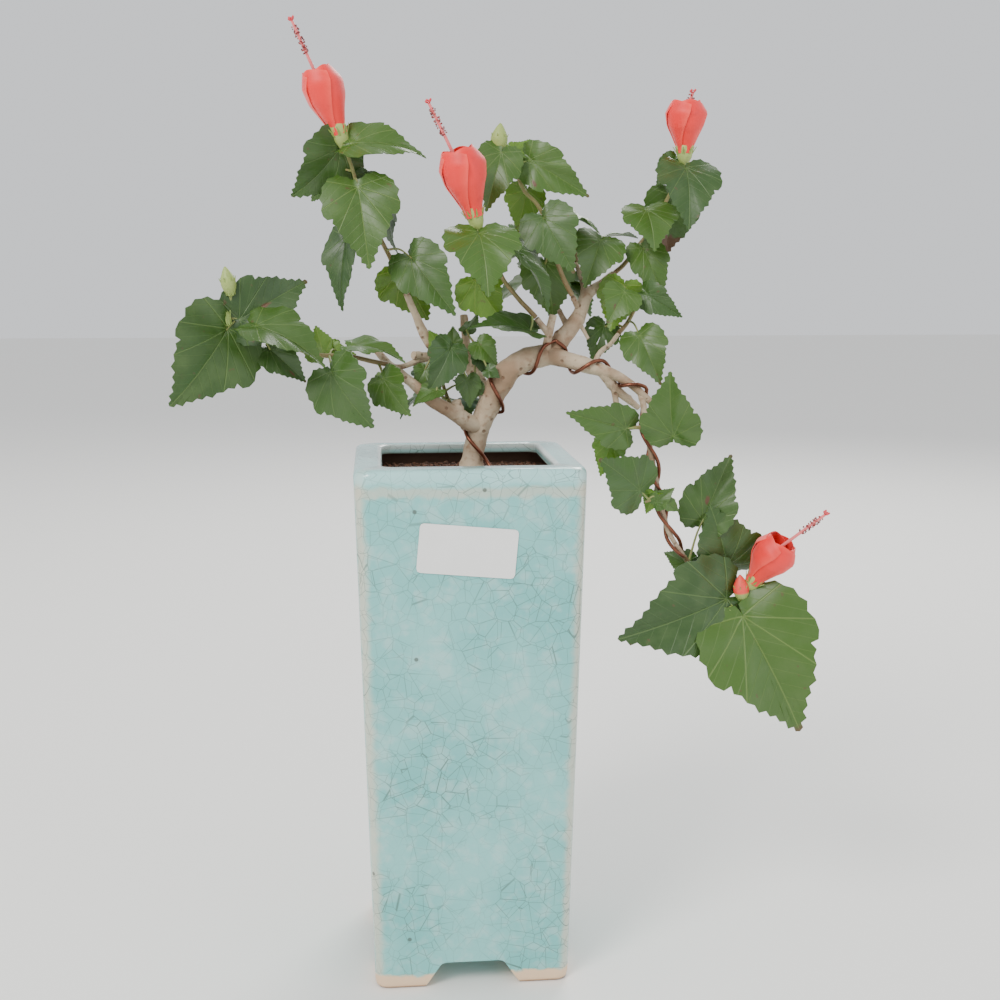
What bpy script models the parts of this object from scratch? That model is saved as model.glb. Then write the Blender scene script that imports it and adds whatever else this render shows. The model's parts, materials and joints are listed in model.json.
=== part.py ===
# Wax mallow bonsai in a tall square glazed pot. Metres, +Z up, the pot's front towards -Y.
# The plant is laid out about the middle of the pot's base, and the last lines move everything so that
# the origin is the bottom centre of the whole bounding box.
import math
import random

import bmesh
import bpy
from mathutils import Matrix, Vector
from mathutils.bvhtree import BVHTree

MM = 0.001
SEED = 11
GAP = 0.3 * MM

# Pot: outer half widths, wall, rim and feet
POT_HEIGHT = 281 * MM
POT_HALF_BASE = 52 * MM
POT_HALF_RIM = 59 * MM
POT_CORNER = 6.5 * MM
RIM_CORNER = 10 * MM
CAVITY_FLOOR = 22 * MM
CAVITY_TOP = 276 * MM
CAVITY_HALF_FLOOR = 43.5 * MM
CAVITY_HALF_TOP = 51.5 * MM
CAVITY_CORNER = 5 * MM
OPENING_HALF = 44.3 * MM
OPENING_CORNER = 6 * MM
NOTCH_HEIGHT = 14 * MM
NOTCH_HALF_TOP = 15.3 * MM
NOTCH_HALF_FOOT = 25.5 * MM
DRAIN_RADIUS = 8 * MM
SOIL_EDGE = 269 * MM
SOIL_TOP = 272 * MM
SOIL_FLAT = 14 * MM

# Label on the front face
LABEL_WIDTH = 50 * MM
LABEL_HEIGHT = 25.5 * MM
LABEL_THICK = 0.3 * MM
LABEL_CORNER = 2 * MM
LABEL_AT = (-2.3 * MM, 239.6 * MM)
LABEL_TILT = 5.1

WOOD_SIDES = {"trunk": 10, "right_bough": 9, "cascade_bough": 9}
THIN_SIDES = 7
SMOOTH_LIMBS = ("trunk", "cascade_bough")
STEM_SIDES = 5
STALK_SIDES = 3
WIRE_SIDES = 5
WIRE_RADIUS = 1.0 * MM
STEM_RADIUS = (1.35 * MM, 0.85 * MM)
STALK_RADIUS = 0.65 * MM
LONG_STALK = 10 * MM
LEAF_THICK = 0.5 * MM
LEAF_THIN_RATIO = 0.011
LEAF_BOW = (0.06, 0.12)
LEAF_FOLD = (0.22, 0.34)

# Half outline of a leaf, in leaf lengths: (across, along) from the notch at the stalk to the tip.
# A small leaf keeps the rows that aren't marked as fine.
LEAF_HALF = (
    (0.0, -0.03, 0),
    (0.17, -0.15, 0),
    (0.37, -0.08, 0),
    (0.45, 0.16, 0),
    (0.40, 0.44, 0),
    (0.18, 0.70, 0),
    (0.06, 0.88, 1),
    (0.0, 1.0, 0),
)
MIDRIB = (0.10, 0.42, 0.74)
SMALL_LEAF = 20 * MM
FRONT = Vector((0.0, -1.0, 0.35)).normalized()
UP = Vector((0.0, 0.0, 1.0))
GOLDEN = math.radians(137.5)

# Each limb: the points of its axis in mm with the radius at each, and the short cut stubs it carries
LIMBS = {
    "trunk": (
        ((4, -2, 272.3, 7.6), (4.5, -2, 279, 5.9), (8, -3, 295, 5.7), (13, -5, 308, 5.9)),
        ((18, -6, 318, 6.4), (24, -8, 327, 6.3), (33, -8, 332.5, 6.1), (44, -8, 335, 6.0)),
    ),
    "left_bough": (
        ((9, -2.5, 295, 4.2), (1, -9, 300, 4.5), (-9, -15, 306.5, 3.9), (-18, -17, 312, 3.3)),
        ((-27, -14, 320, 2.7), (-36, -8, 327, 2.3), (-42, 0, 332, 2.1), (-47, 5, 338, 1.8)),
    ),
    "inner_left_bough": (
        ((16, -4, 308, 4.4), (12, 2, 314, 4.2), (7, 8, 323, 3.7), (2, 11, 330, 3.4), (-8, 8, 335, 3.2)),
        ((-16, 4, 339, 3.0), (-21, 2.5, 346, 2.6), (-25, 2.5, 355, 2.1), (-30, 5, 367, 1.7)),
    ),
    "left_arm": (
        ((-13, 4, 336, 2.4), (-18, 0, 334, 2.4), (-23, -3, 333, 2.5), (-27, -6, 331, 1.6)),
        ((-34, -9, 329, 1.4), (-40, -10, 330, 1.3)),
    ),
    "right_bough": (
        ((46, -7, 333, 5.0), (52, -4, 342, 4.9), (58, 0, 349, 4.4), (63, 4, 356, 3.8), (68, 9, 366, 3.2)),
        ((77, 15, 372, 2.5), (84, 20, 377, 2.1)),
    ),
    "cascade_bough": (
        ((43, -8, 335, 4.9), (53, -12, 332.5, 4.5), (63, -17, 330, 4.1), (72, -20, 327, 3.4)),
        ((80, -22, 324, 2.6), (87, -25, 319.5, 2.2), (93, -27, 314, 2.0), (98, -28, 309.5, 1.9)),
    ),
    "hanging_shoot": (
        ((91, -26, 315, 1.6), (92, -30, 309, 1.6), (93, -34, 298, 1.6), (96, -35, 281, 1.5)),
        ((100, -34, 264, 1.4), (103, -33, 252, 1.4), (107, -32, 241, 1.3), (115, -30, 229, 1.2)),
    ),
    "rise_twig": (
        ((68, -17, 327, 1.7), (70, -12, 333, 1.5), (74, -6, 337, 1.3), (79, -2, 340, 1.2), (84, 3, 345, 1.1)),
        (),
    ),
    "fork_stub": (
        ((43, -9, 334, 3.0), (43.5, -11, 341, 2.4), (45, -12, 349, 2.2), (46.5, -12.5, 356, 2.0)),
        (),
    ),
}
# Stubs and spurs fused to a limb: name of the limb, start, end and the two radii, in mm
STUBS = (
    ("left_bough", (-3, -12, 303), (-5, -15, 311), 3.2, 2.6),
    ("inner_left_bough", (3, 11, 329), (1.5, 19, 355), 2.7, 2.1),
    ("inner_left_bough", (-11, 7, 336), (-10, 0, 339.5), 1.7, 1.3),
    ("inner_left_bough", (-12, 6, 336), (-16, -1, 343), 1.6, 1.3),
    ("inner_left_bough", (5, 10, 326), (6, 4, 334), 1.9, 1.3),
    ("left_arm", (-20, -1.5, 333.5), (-27, -7, 335), 2.6, 2.2),
    ("right_bough", (66, 8, 362), (67, 13, 371), 2.4, 1.9),
    ("right_bough", (67, 13, 370.5), (64, 24, 383), 1.8, 1.3),
    ("right_bough", (62, 4, 353), (67, -1, 343), 1.3, 0.9),
    ("right_bough", (63, 5, 358), (58.5, -1, 365), 1.8, 1.4),
    ("right_bough", (57, 2, 348), (53, 14, 358), 2.0, 1.4),
    ("cascade_bough", (72, -20, 326), (80, -19, 316), 3.0, 2.6),
    ("cascade_bough", (80, -19, 316.5), (92, -17, 307), 2.6, 1.5),
    ("cascade_bough", (78, -20, 318), (80, -21, 305), 1.8, 1.3),
    ("hanging_shoot", (93.5, -35, 296), (91, -38, 298.5), 1.3, 1.0),
    ("hanging_shoot", (100, -34, 264), (97.5, -37, 262.5), 1.3, 1.0),
    ("fork_stub", (45, -11.5, 345), (37.5, -14, 354), 2.0, 1.5),
    ("trunk", (6, 0, 288), (-1, 12, 297), 2.4, 1.6),
)
# The limbs that each limb springs from or leans on: its foot is cut to sit a gap off them
PARENTS = {
    "left_bough": ("trunk",),
    "inner_left_bough": ("trunk", "left_bough"),
    "left_arm": ("inner_left_bough", "left_bough"),
    "right_bough": ("trunk",),
    "cascade_bough": ("trunk", "right_bough"),
    "hanging_shoot": ("cascade_bough",),
    "rise_twig": ("cascade_bough", "right_bough"),
    "fork_stub": ("trunk", "cascade_bough", "right_bough"),
}

# Training wire: distances along trunk and cascade bough, in mm, where it crosses the front
WIRE_FRONTS = (14, 46, 76, 105, 130)
WIRE_SHOOT_FRONTS = (30, 72)
WIRE_LOWER_FRONTS = (51, 93)

# Each spray: stem points in mm, then leaf rows. A row is the share of the stem where the stalk leaves
# it, the stalk's bearing, lean and length, the blade's bearing, lean and length, its roll and its
# width as a share of the usual. Bearings turn anticlockwise from +X as seen from the front, a lean is
# towards the viewer, all in degrees, and lengths are in mm. A roll of 180 shows the underside.
SPRAYS = {
    "left_spray": (
        ((-41, -10, 330.5), (-48, -12, 332), (-61, -14, 335), (-78, -16, 336), (-91, -17, 341),
         (-105, -18, 347), (-115, -19, 351), (-120, -20, 356)),
        (
            (0.96, 226, 43, 7, 232, 9, 49, -42, 1.10),
            (0.99, 339, 2, 4, 30, -20, 42, 12, 0.85),
            (0.85, 39, 73, 13, 330, 10, 41, -40, 0.92),
            (0.80, 295, -35, 11, 317, 0, 26, 0, 0.80),
            (0.36, 278, 54, 13, 307, 6, 36, 38, 1.08),
            (0.06, 289, 35, 10, 307, 16, 25, 38, 1.00),
            (0.42, 334, -73, 8, 105, -17, 17, 180, 1.20),
            (0.36, 46, -71, 10, 345, -34, 14, 180, 1.00),
            (0.24, 73, 20, 6, 344, 8, 29, -50, 0.80),
            (0.06, 290, -42, 13, 235, -28, 11, 180, 1.00),
        ),
    ),
    "upper_left_spray": (
        ((-30.5, 5, 368), (-38, 6, 385), (-41, 6, 391), (-48, 4, 405), (-54, 2, 420), (-58, 0, 433),
         (-61, 0, 441)),
        (
            (0.95, 76, 34, 7, 350, -6, 40, -28, 0.72),
            (0.97, 127, -23, 5, 223, -9, 37, -46, 0.98),
            (0.80, 286, 65, 12, 277, 13, 43, 0, 0.97),
            (0.50, 209, 19, 16, 267, 4, 39, 40, 0.62),
            (0.62, 19, -22, 14, 279, -8, 30, 70, 0.90),
            (0.85, 188, -45, 14, 227, -18, 19, 0, 1.00),
            (0.75, 54, -14, 9, 252, -21, 11, 0, 1.10),
            (0.30, 343, 47, 19, 307, 12, 39, 12, 0.80),
            (0.12, 52, -44, 6, 296, -7, 31, 180, 1.20),
        ),
    ),
    "centre_left_spray": (
        ((37, -14.2, 354.8), (33, -15, 359), (29, -15, 363), (24, -15, 369), (20, -16, 374), (17, -18, 380),
         (13, -22, 388), (9, -26, 394), (6, -28, 399)),
        (
            (0.95, 157, 76, 7, 275, 29, 37, -5, 1.10),
            (0.55, 200, -23, 14, 304, -4, 28, 180, 1.05),
            (0.05, 270, 21, 10, 178, 10, 35, 45, 0.75),
            (0.66, 36, 12, 11, 300, 6, 38, -58, 0.85),
        ),
    ),
    "centre_top_spray": (
        ((58, -1.5, 366), (54, -3, 373), (50, -4, 382), (45, -4, 395), (42, -4, 407), (38, -4, 414),
         (32, -4, 420), (27, -5, 430), (23, -5, 437), (19, -5, 440)),
        (
            (0.90, 137, 36, 9, 254, 11, 32, 0, 0.80),
            (0.88, 21, 7, 9, 329, 6, 37, 18, 0.68),
            (0.95, 31, -52, 9, 37, -28, 13, 180, 1.00),
            (0.72, 14, -72, 8, 259, -10, 23, 180, 1.00),
            (0.52, 208, 81, 8, 298, 14, 34, 14, 0.94),
            (0.52, 4, -27, 9, 338, -5, 25, -60, 1.00),
            (0.30, 241, -58, 12, 280, -8, 31, 0, 1.00),
            (0.12, 15, -85, 13, 284, -4, 27, 0, 1.00),
        ),
    ),
    "leader_spray": (
        ((64, 24.5, 384), (64, 27, 390), (68, 28, 396), (74, 29, 400)),
        (
            (0.95, 298, 76, 19, 248, 20, 29, 0, 1.05),
            (1.00, 320, 54, 9, 1, -11, 21, -70, 1.00),
        ),
    ),
    "right_top_spray": (
        ((85, 20.5, 378), (91, 23, 383), (99, 25, 393), (106, 24, 402), (113, 20, 417), (118, 16, 428),
         (121, 14, 436)),
        (
            (0.93, 77, 82, 11, 268, 23, 36, -4, 1.02),
            (0.60, 176, 51, 17, 277, 24, 25, -6, 1.30),
            (0.75, 354, -58, 4, 266, -7, 33, 0, 1.00),
            (0.30, 272, 80, 11, 290, 7, 31, 5, 0.75),
            (0.97, 127, -26, 6, 233, -7, 17, 0, 0.90),
        ),
    ),
    "rise_spray": (
        ((84.5, 3.5, 345.6), (90, 8, 351), (95, 10, 359), (100, 10, 364)),
        (
            (1.00, 129, 71, 13, 327, 10, 24, 26, 0.72),
            (0.70, 133, 48, 19, 238, 18, 20, 0, 1.15),
            (0.40, 288, 68, 20, 292, 16, 29, 10, 0.90),
            (0.20, 174, -31, 11, 250, 0, 21, 0, 1.00),
            (0.80, 131, -7, 15, 254, 4, 26, 180, 1.00),
        ),
    ),
    "cascade_upper_spray": (
        ((90.6, -38.3, 298.8), (88, -39, 299), (85, -39.5, 299)),
        (
            (1.00, 188, 7, 4, 164, 7, 34, -16, 0.72),
            (0.60, 209, -20, 15, 255, -11, 21, 180, 0.90),
            (0.10, 345, 20, 16, 96, 7, 34, -30, 0.98),
        ),
    ),
    "cascade_low_spray": (
        ((97.2, -37.4, 262.3), (95, -38, 261), (92, -38, 260)),
        (
            (0.60, 136, 31, 10, 142, 6, 28, 0, 1.22),
            (0.30, 303, 26, 3, 41, 9, 13, 0, 0.85),
            (0.10, 341, 5, 6, 325, -12, 9, 0, 0.90),
            (0.90, 42, 0, 6, 249, -15, 12, 180, 1.10),
        ),
    ),
    "cascade_tip_spray": (
        ((115.4, -29.9, 228.5), (125, -28, 215), (133, -28, 207), (141, -29, 203), (148, -30, 201)),
        (
            (0.10, 68, -13, 24, 65, -9, 39, -14, 0.82),
            (0.70, 72, -15, 17, 109, 6, 37, 0, 1.20),
            (0.85, 139, 48, 7, 198, 5, 63, -14, 0.92),
            (1.00, 239, 61, 9, 297, 7, 71, 4, 0.95),
            (0.10, 307, -55, 7, 153, -22, 16, 0, 1.00),
        ),
    ),
    "inner_left_spray": (
        ((-10, -0.4, 339.8), (-10, -4, 340), (-12, -9, 339)),
        (
            (0.50, 355, 75, 11, 242, 11, 27, -22, 0.88),
            (1.00, 231, 4, 14, 242, 0, 11, 0, 1.00),
            (0.40, 304, 11, 21, 274, 0, 16, 0, 0.90),
            (1.00, 263, 27, 24, 214, 0, 16, 40, 1.00),
            (0.20, 198, -68, 7, 125, -10, 11, 180, 1.00),
            (0.10, 350, -52, 7, 89, -11, 11, 0, 1.00),
        ),
    ),
    "inner_right_spray": (
        ((6, 3.6, 334.4), (6, 1, 338), (7, -3, 341)),
        (
            (1.00, 25, 84, 3, 310, 7, 16, 0, 1.00),
            (0.70, 307, 26, 5, 282, -4, 13, 0, 1.00),
            (0.50, 296, 42, 16, 328, 7, 8, 0, 1.10),
            (0.80, 129, -8, 10, 52, 0, 12, 60, 1.00),
            (0.20, 270, 33, 19, 249, -10, 12, 0, 1.00),
        ),
    ),
    "back_spray": (
        ((52.9, 14.3, 358.3), (50, 24, 366), (46, 34, 378), (43, 42, 392), (42, 46, 404)),
        (),
    ),
    "back_low_spray": (
        ((-1.2, 12.3, 297.3), (-6, 22, 306), (-10, 30, 318), (-12, 35, 331)),
        (),
    ),
}
# A leaf that would touch something is tried again this much nearer to the viewer, in mm
NUDGES = (0, 2, -2, 4, -4, 6, -6, 9, -9, 12, 15)
# Leaves grown by rule round a stem that the photograph hides: count, size in mm, first turn
FILL = {
    "back_spray": (9, 31, 0.4),
    "back_low_spray": (6, 25, 1.1),
}
# Blooms: spray, base of the calyx in mm, bearing and lean of its axis, length, width, bend of the
# column of stamens in degrees and the share of it that stands out of the mouth
BLOOMS = (
    ("upper_left_spray", (-61, 0, 441.5), 110, 5, 1.0, 1.0, 4, 0.95),
    ("centre_left_spray", (6, -28, 399), 106, 8, 1.0, 1.1, 11, 0.92),
    ("right_top_spray", (121, 14, 436), 91, 5, 0.8, 1.02, -24, 0.12),
    ("cascade_tip_spray", (150, -31, 210), 62, 20, 0.84, 1.06, -18, 0.9),
)
# Buds: spray, start of the stalk, base of the bud, bearing, length and radius in mm
BUDS = (
    ("left_spray", (-120, -20, 355), (-119, -22, 366), 100, 15, 3.8),
    ("left_spray", (-119, -20, 352), (-121, -23, 351), 108, 11, 3.0),
    ("centre_top_spray", (19, -5, 438), (18, -5, 439), 85, 15, 4.3),
    ("cascade_tip_spray", (147, -30, 201), (147, -33, 204), 98, 15, 4.2),
    ("cascade_tip_spray", (148, -30, 201), (143, -34, 198), 150, 8, 3.0),
)
# Calyx, corolla and its hollow mouth: distance along the axis and radius, in mm
BLOOM_RINGS = (
    (0, 1.4), (5, 4.2), (11, 4.5), (18, 7.2), (25, 10.2), (33, 11.3), (41, 9.6), (38, 6.4), (31, 2.4),
)
BLOOM_MOUTH = 41.5
COLUMN_FROM = 28
COLUMN_RINGS = ((3, 0.9), (12, 1.5), (22, 2.4), (26, 1.2))
BUD_RINGS = ((0.0, 0.35), (0.25, 0.9), (0.55, 1.0), (0.85, 0.5), (1.0, 0.12))

COLOURS = {
    "pot": ((0.42, 0.62, 0.60), 0.25),
    "soil": ((0.07, 0.04, 0.025), 0.95),
    "wood": ((0.56, 0.48, 0.38), 0.8),
    "wire": ((0.16, 0.05, 0.035), 0.4),
    "leaf": ((0.11, 0.24, 0.07), 0.6),
    "label": ((0.86, 0.86, 0.85), 0.6),
}

TAKEN = []
NEAR = []
SKIPPED = []


def material(name):
    made = bpy.data.materials.get(name)
    if made is None:
        colour, rough = COLOURS[name]
        made = bpy.data.materials.new(name)
        made.use_nodes = True
        shader = made.node_tree.nodes["Principled BSDF"]
        shader.inputs["Base Color"].default_value = (*colour, 1.0)
        shader.inputs["Roughness"].default_value = rough
    return made


def add_object(name, solid, look=None):
    verts, faces = solid
    mesh = bpy.data.meshes.new(name)
    mesh.from_pydata([tuple(v) for v in verts], [], faces)
    work = bmesh.new()
    work.from_mesh(mesh)
    bmesh.ops.recalc_face_normals(work, faces=work.faces)
    work.to_mesh(mesh)
    work.free()
    obj = bpy.data.objects.new(name, mesh)
    bpy.context.scene.collection.objects.link(obj)
    if look:
        mesh.materials.append(material(look))
    return obj


def largest_shell(mesh):
    """Drops loose scraps and any hollow that the joining sealed."""
    work = bmesh.new()
    work.from_mesh(mesh)
    left = set(work.faces)
    shells = []
    while left:
        seed = left.pop()
        shell, front = {seed}, [seed]
        while front:
            face = front.pop()
            for edge in face.edges:
                for other in edge.link_faces:
                    if other in left:
                        left.discard(other)
                        shell.add(other)
                        front.append(other)
        shells.append(shell)
    shells.sort(key=len)
    drop = [face for shell in shells[:-1] for face in shell]
    bmesh.ops.delete(work, geom=drop, context="FACES")
    bmesh.ops.triangulate(work, faces=work.faces)
    work.to_mesh(mesh)
    work.free()


def combine(obj, solids, operation):
    """Joins closed solids to the object, or cuts them from it, and applies the result."""
    if not solids:
        return
    group = bpy.data.collections.new("operands")
    bpy.context.scene.collection.children.link(group)
    for solid in solids:
        part = add_object("operand", solid)
        bpy.context.scene.collection.objects.unlink(part)
        group.objects.link(part)
        part.hide_render = True
    step = obj.modifiers.new("combine", "BOOLEAN")
    step.operand_type = "COLLECTION"
    step.collection = group
    step.operation = operation
    step.solver = "EXACT"
    bpy.context.view_layer.update()
    graph = bpy.context.evaluated_depsgraph_get()
    done = bpy.data.meshes.new_from_object(obj.evaluated_get(graph))
    obj.modifiers.clear()
    obj.data = done
    for part in list(group.objects):
        bpy.data.objects.remove(part)
    bpy.data.collections.remove(group)
    largest_shell(obj.data)


def take(obj):
    data = obj.data
    points = [obj.matrix_world @ v.co for v in data.vertices]
    TAKEN.append((obj.name, BVHTree.FromPolygons(points, [tuple(p.vertices) for p in data.polygons])))


def is_clear(solid, but=()):
    tree = BVHTree.FromPolygons(solid[0], solid[1])
    return not any(tree.overlap(other) for name, other in TAKEN if name not in but)


def heading(bearing, lean):
    b, s = math.radians(bearing), math.radians(lean)
    return Vector((math.cos(b) * math.cos(s), -math.sin(s), math.sin(b) * math.cos(s)))


def smooth(points, steps):
    """A Catmull-Rom curve through (x, y, z, radius) points, as (Vector, radius) pairs."""
    rows = [Vector(p) for p in points]
    ends = [2 * rows[0] - rows[1]] + rows + [2 * rows[-1] - rows[-2]]
    out = []
    for i in range(1, len(ends) - 2):
        a, b, c, d = ends[i - 1 : i + 3]
        for k in range(steps):
            t = k / steps
            out.append(
                0.5 * (2 * b + (c - a) * t + (2 * a - 5 * b + 4 * c - d) * t * t)
                + 0.5 * (3 * b - 3 * c + d - a) * t * t * t
            )
    out.append(rows[-1])
    return [(Vector(row[:3]), row[3]) for row in out]


def frames(path):
    """Tangent, side and third axis at each point, carried along without twisting."""
    places = [p for p, _ in path]
    tangents = []
    for i in range(len(places)):
        ahead = places[min(i + 1, len(places) - 1)] - places[max(i - 1, 0)]
        tangents.append(ahead.normalized())
    side = tangents[0].orthogonal().normalized()
    out = []
    for tangent in tangents:
        side = (side - tangent * side.dot(tangent)).normalized()
        out.append((tangent, side, tangent.cross(side)))
    return out


def tube(path, sides, grow=0.0, level_foot=False):
    verts, faces = [], []
    for n, ((place, radius), (_, side, third)) in enumerate(zip(path, frames(path))):
        if level_foot and n == 0:
            side, third = Vector((1, 0, 0)), Vector((0, 1, 0))
        for k in range(sides):
            turn = math.tau * k / sides
            verts.append(place + (side * math.cos(turn) + third * math.sin(turn)) * (radius + grow))
    for n in range(len(path) - 1):
        for k in range(sides):
            a, b = n * sides + k, n * sides + (k + 1) % sides
            faces.append((a, b, b + sides, a + sides))
    faces.append(tuple(reversed(range(sides))))
    faces.append(tuple(range((len(path) - 1) * sides, len(path) * sides)))
    return verts, faces


def lathe(base, axis, rings, sides, bend=0.0, bend_from=0.0, turn=0.0):
    """Rings of (distance, radius) round an axis. The axis bends, in degrees, past one distance."""
    side = axis.orthogonal().normalized()
    third = axis.cross(side)
    sway = Vector((axis.z, 0, -axis.x)).normalized()
    verts, faces = [], []
    for distance, radius in rings:
        past = max(0.0, distance - bend_from)
        centre = base + axis * distance - sway * past * math.tan(math.radians(bend))
        for k in range(sides):
            angle = math.tau * k / sides + turn
            verts.append(centre + (side * math.cos(angle) + third * math.sin(angle)) * radius)
    for n in range(len(rings) - 1):
        for k in range(sides):
            a, b = n * sides + k, n * sides + (k + 1) % sides
            faces.append((a, b, b + sides, a + sides))
    faces.append(tuple(reversed(range(sides))))
    faces.append(tuple(range((len(rings) - 1) * sides, len(rings) * sides)))
    return verts, faces


def square_ring(z, half, corner, per_corner=4):
    points = []
    for quarter in range(4):
        middle = math.radians(45 + 90 * quarter)
        cx = math.copysign(half - corner, math.cos(middle))
        cy = math.copysign(half - corner, math.sin(middle))
        for k in range(per_corner):
            angle = math.radians(90 * quarter + 90 * k / (per_corner - 1))
            points.append(Vector((cx + corner * math.cos(angle), cy + corner * math.sin(angle), z)))
    return points


def stack(rings):
    """A closed solid through rings with the same number of points."""
    count = len(rings[0])
    verts = [point for ring in rings for point in ring]
    faces = []
    for n in range(len(rings) - 1):
        for k in range(count):
            a, b = n * count + k, n * count + (k + 1) % count
            faces.append((a, b, b + count, a + count))
    faces.append(tuple(reversed(range(count))))
    faces.append(tuple(range((len(rings) - 1) * count, len(rings) * count)))
    return verts, faces


def prism(outline, low, high, across):
    """An (a, z) outline pushed along X or Y."""
    verts, count = [], len(outline)
    for level in (low, high):
        for a, z in outline:
            verts.append(Vector((level, a, z)) if across == "X" else Vector((a, level, z)))
    faces = [(k, (k + 1) % count, (k + 1) % count + count, k + count) for k in range(count)]
    faces += [tuple(reversed(range(count))), tuple(range(count, 2 * count))]
    return verts, faces


def half_at(z):
    return POT_HALF_BASE + (POT_HALF_RIM - POT_HALF_BASE) * z / POT_HEIGHT


def cavity_half(z):
    share = (z - CAVITY_FLOOR) / (CAVITY_TOP - CAVITY_FLOOR)
    return CAVITY_HALF_FLOOR + (CAVITY_HALF_TOP - CAVITY_HALF_FLOOR) * share


def build_pot():
    top = POT_HEIGHT
    body = [
        square_ring(0, POT_HALF_BASE - 1.6 * MM, POT_CORNER),
        square_ring(1.2 * MM, POT_HALF_BASE - 0.4 * MM, POT_CORNER),
        square_ring(4 * MM, half_at(4 * MM), POT_CORNER),
        square_ring(top - 12 * MM, half_at(top - 12 * MM), POT_CORNER),
        square_ring(top - 3.5 * MM, POT_HALF_RIM, RIM_CORNER - 1.5 * MM),
        square_ring(top - 1.1 * MM, POT_HALF_RIM - 0.9 * MM, RIM_CORNER),
        square_ring(top, POT_HALF_RIM - 3.4 * MM, RIM_CORNER),
    ]
    pot = add_object("pot", stack(body), "pot")
    cavity = [
        square_ring(CAVITY_FLOOR, CAVITY_HALF_FLOOR, CAVITY_CORNER),
        square_ring(CAVITY_TOP, CAVITY_HALF_TOP, CAVITY_CORNER),
    ]
    opening = [
        square_ring(CAVITY_TOP - 6 * MM, OPENING_HALF, OPENING_CORNER),
        square_ring(top - 1.5 * MM, OPENING_HALF, OPENING_CORNER),
        square_ring(top + 1 * MM, OPENING_HALF + 2.2 * MM, OPENING_CORNER + 2 * MM),
    ]
    rise = NOTCH_HEIGHT
    notch = (
        (-NOTCH_HALF_FOOT - 1 * MM, -1 * MM),
        (NOTCH_HALF_FOOT + 1 * MM, -1 * MM),
        (NOTCH_HALF_FOOT - 1.5 * MM, 2.5 * MM),
        (NOTCH_HALF_TOP + 2.4 * MM, rise - 2 * MM),
        (NOTCH_HALF_TOP - 1 * MM, rise),
        (-NOTCH_HALF_TOP + 1 * MM, rise),
        (-NOTCH_HALF_TOP - 2.4 * MM, rise - 2 * MM),
        (-NOTCH_HALF_FOOT + 1.5 * MM, 2.5 * MM),
    )
    reach = POT_HALF_RIM + 10 * MM
    drain = lathe(Vector((0, 0, NOTCH_HEIGHT - 3 * MM)), UP, ((0, DRAIN_RADIUS), (14 * MM, DRAIN_RADIUS)), 16)
    holes = [stack(cavity), stack(opening), prism(notch, -reach, reach, "X"), prism(notch, -reach, reach, "Y"), drain]
    combine(pot, holes, "DIFFERENCE")
    take(pot)


def build_soil():
    rings = [
        square_ring(CAVITY_FLOOR + GAP, cavity_half(CAVITY_FLOOR) - GAP, CAVITY_CORNER),
        square_ring(SOIL_EDGE, cavity_half(SOIL_EDGE) - GAP, CAVITY_CORNER),
        square_ring(SOIL_EDGE + 1.8 * MM, 32 * MM, 12 * MM),
        square_ring(SOIL_TOP, SOIL_FLAT, 6 * MM),
    ]
    take(add_object("soil", stack(rings), "soil"))


def label_frame():
    """Centre, right, up and outward directions of the label on the leaning front face."""
    lean = math.atan2(POT_HALF_RIM - POT_HALF_BASE, POT_HEIGHT)
    out = Vector((0, -math.cos(lean), -math.sin(lean)))
    up = Vector((0, -math.sin(lean), math.cos(lean)))
    spin = Matrix.Rotation(math.radians(LABEL_TILT), 3, -out)
    x, z = LABEL_AT
    centre = Vector((x, -half_at(z), z)) + out * GAP
    return centre, spin @ Vector((1, 0, 0)), spin @ up, out


def build_label():
    centre, right, up, out = label_frame()
    outline = []
    for quarter in range(4):
        middle = math.radians(45 + 90 * quarter)
        a = math.copysign(LABEL_WIDTH / 2 - LABEL_CORNER, math.cos(middle))
        b = math.copysign(LABEL_HEIGHT / 2 - LABEL_CORNER, math.sin(middle))
        for k in range(3):
            angle = math.radians(90 * quarter + 45 * k)
            outline.append((a + LABEL_CORNER * math.cos(angle), b + LABEL_CORNER * math.sin(angle)))
    rings = [[centre + right * a + up * b + out * depth for a, b in outline] for depth in (0.0, LABEL_THICK)]
    add_object("label", stack(rings), "label")


def limb_path(name):
    knots = [(x * MM, y * MM, z * MM, r * MM) for part in LIMBS[name] for x, y, z, r in part]
    return smooth(knots, 2 if name in SMOOTH_LIMBS else 1)


def limb_solid(name, grow=0.0):
    return tube(limb_path(name), WOOD_SIDES.get(name, THIN_SIDES), grow, level_foot=name == "trunk")


def stub_paths(name):
    for owner, start, end, first, last in STUBS:
        if owner == name:
            a, b = Vector(start) * MM, Vector(end) * MM
            yield [(a, first * MM), (a.lerp(b, 0.6), (first + last * 2) / 3 * MM), (b, last * MM)]


def build_limbs():
    for name in LIMBS:
        wood = add_object(name, limb_solid(name), "wood")
        stubs = [tube(path, 6) for path in stub_paths(name)]
        if stubs:
            combine(wood, stubs, "UNION")
        for parent in PARENTS.get(name, ()):
            combine(wood, [limb_solid(parent, GAP * 1.15)], "DIFFERENCE")
            for path in stub_paths(parent):
                combine(wood, [tube(path, 6, GAP * 1.2)], "DIFFERENCE")
        NEAR.append(limb_solid(name, GAP * 1.15))
        NEAR.extend(tube(path, 6, GAP * 1.2) for path in stub_paths(name))
        take(wood)


def clear_point(point, axes, room):
    """Pushes a point out of any limb that it comes nearer than the room."""
    for _ in range(6):
        for path in axes:
            for (a, ra), (b, rb) in zip(path, path[1:]):
                along = b - a
                share = max(0.0, min(1.0, (point - a).dot(along) / along.length_squared))
                foot = a + along * share
                need = ra + (rb - ra) * share + room
                away = point - foot
                if away.length < need:
                    point = foot + away.normalized() * need
    return point


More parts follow.
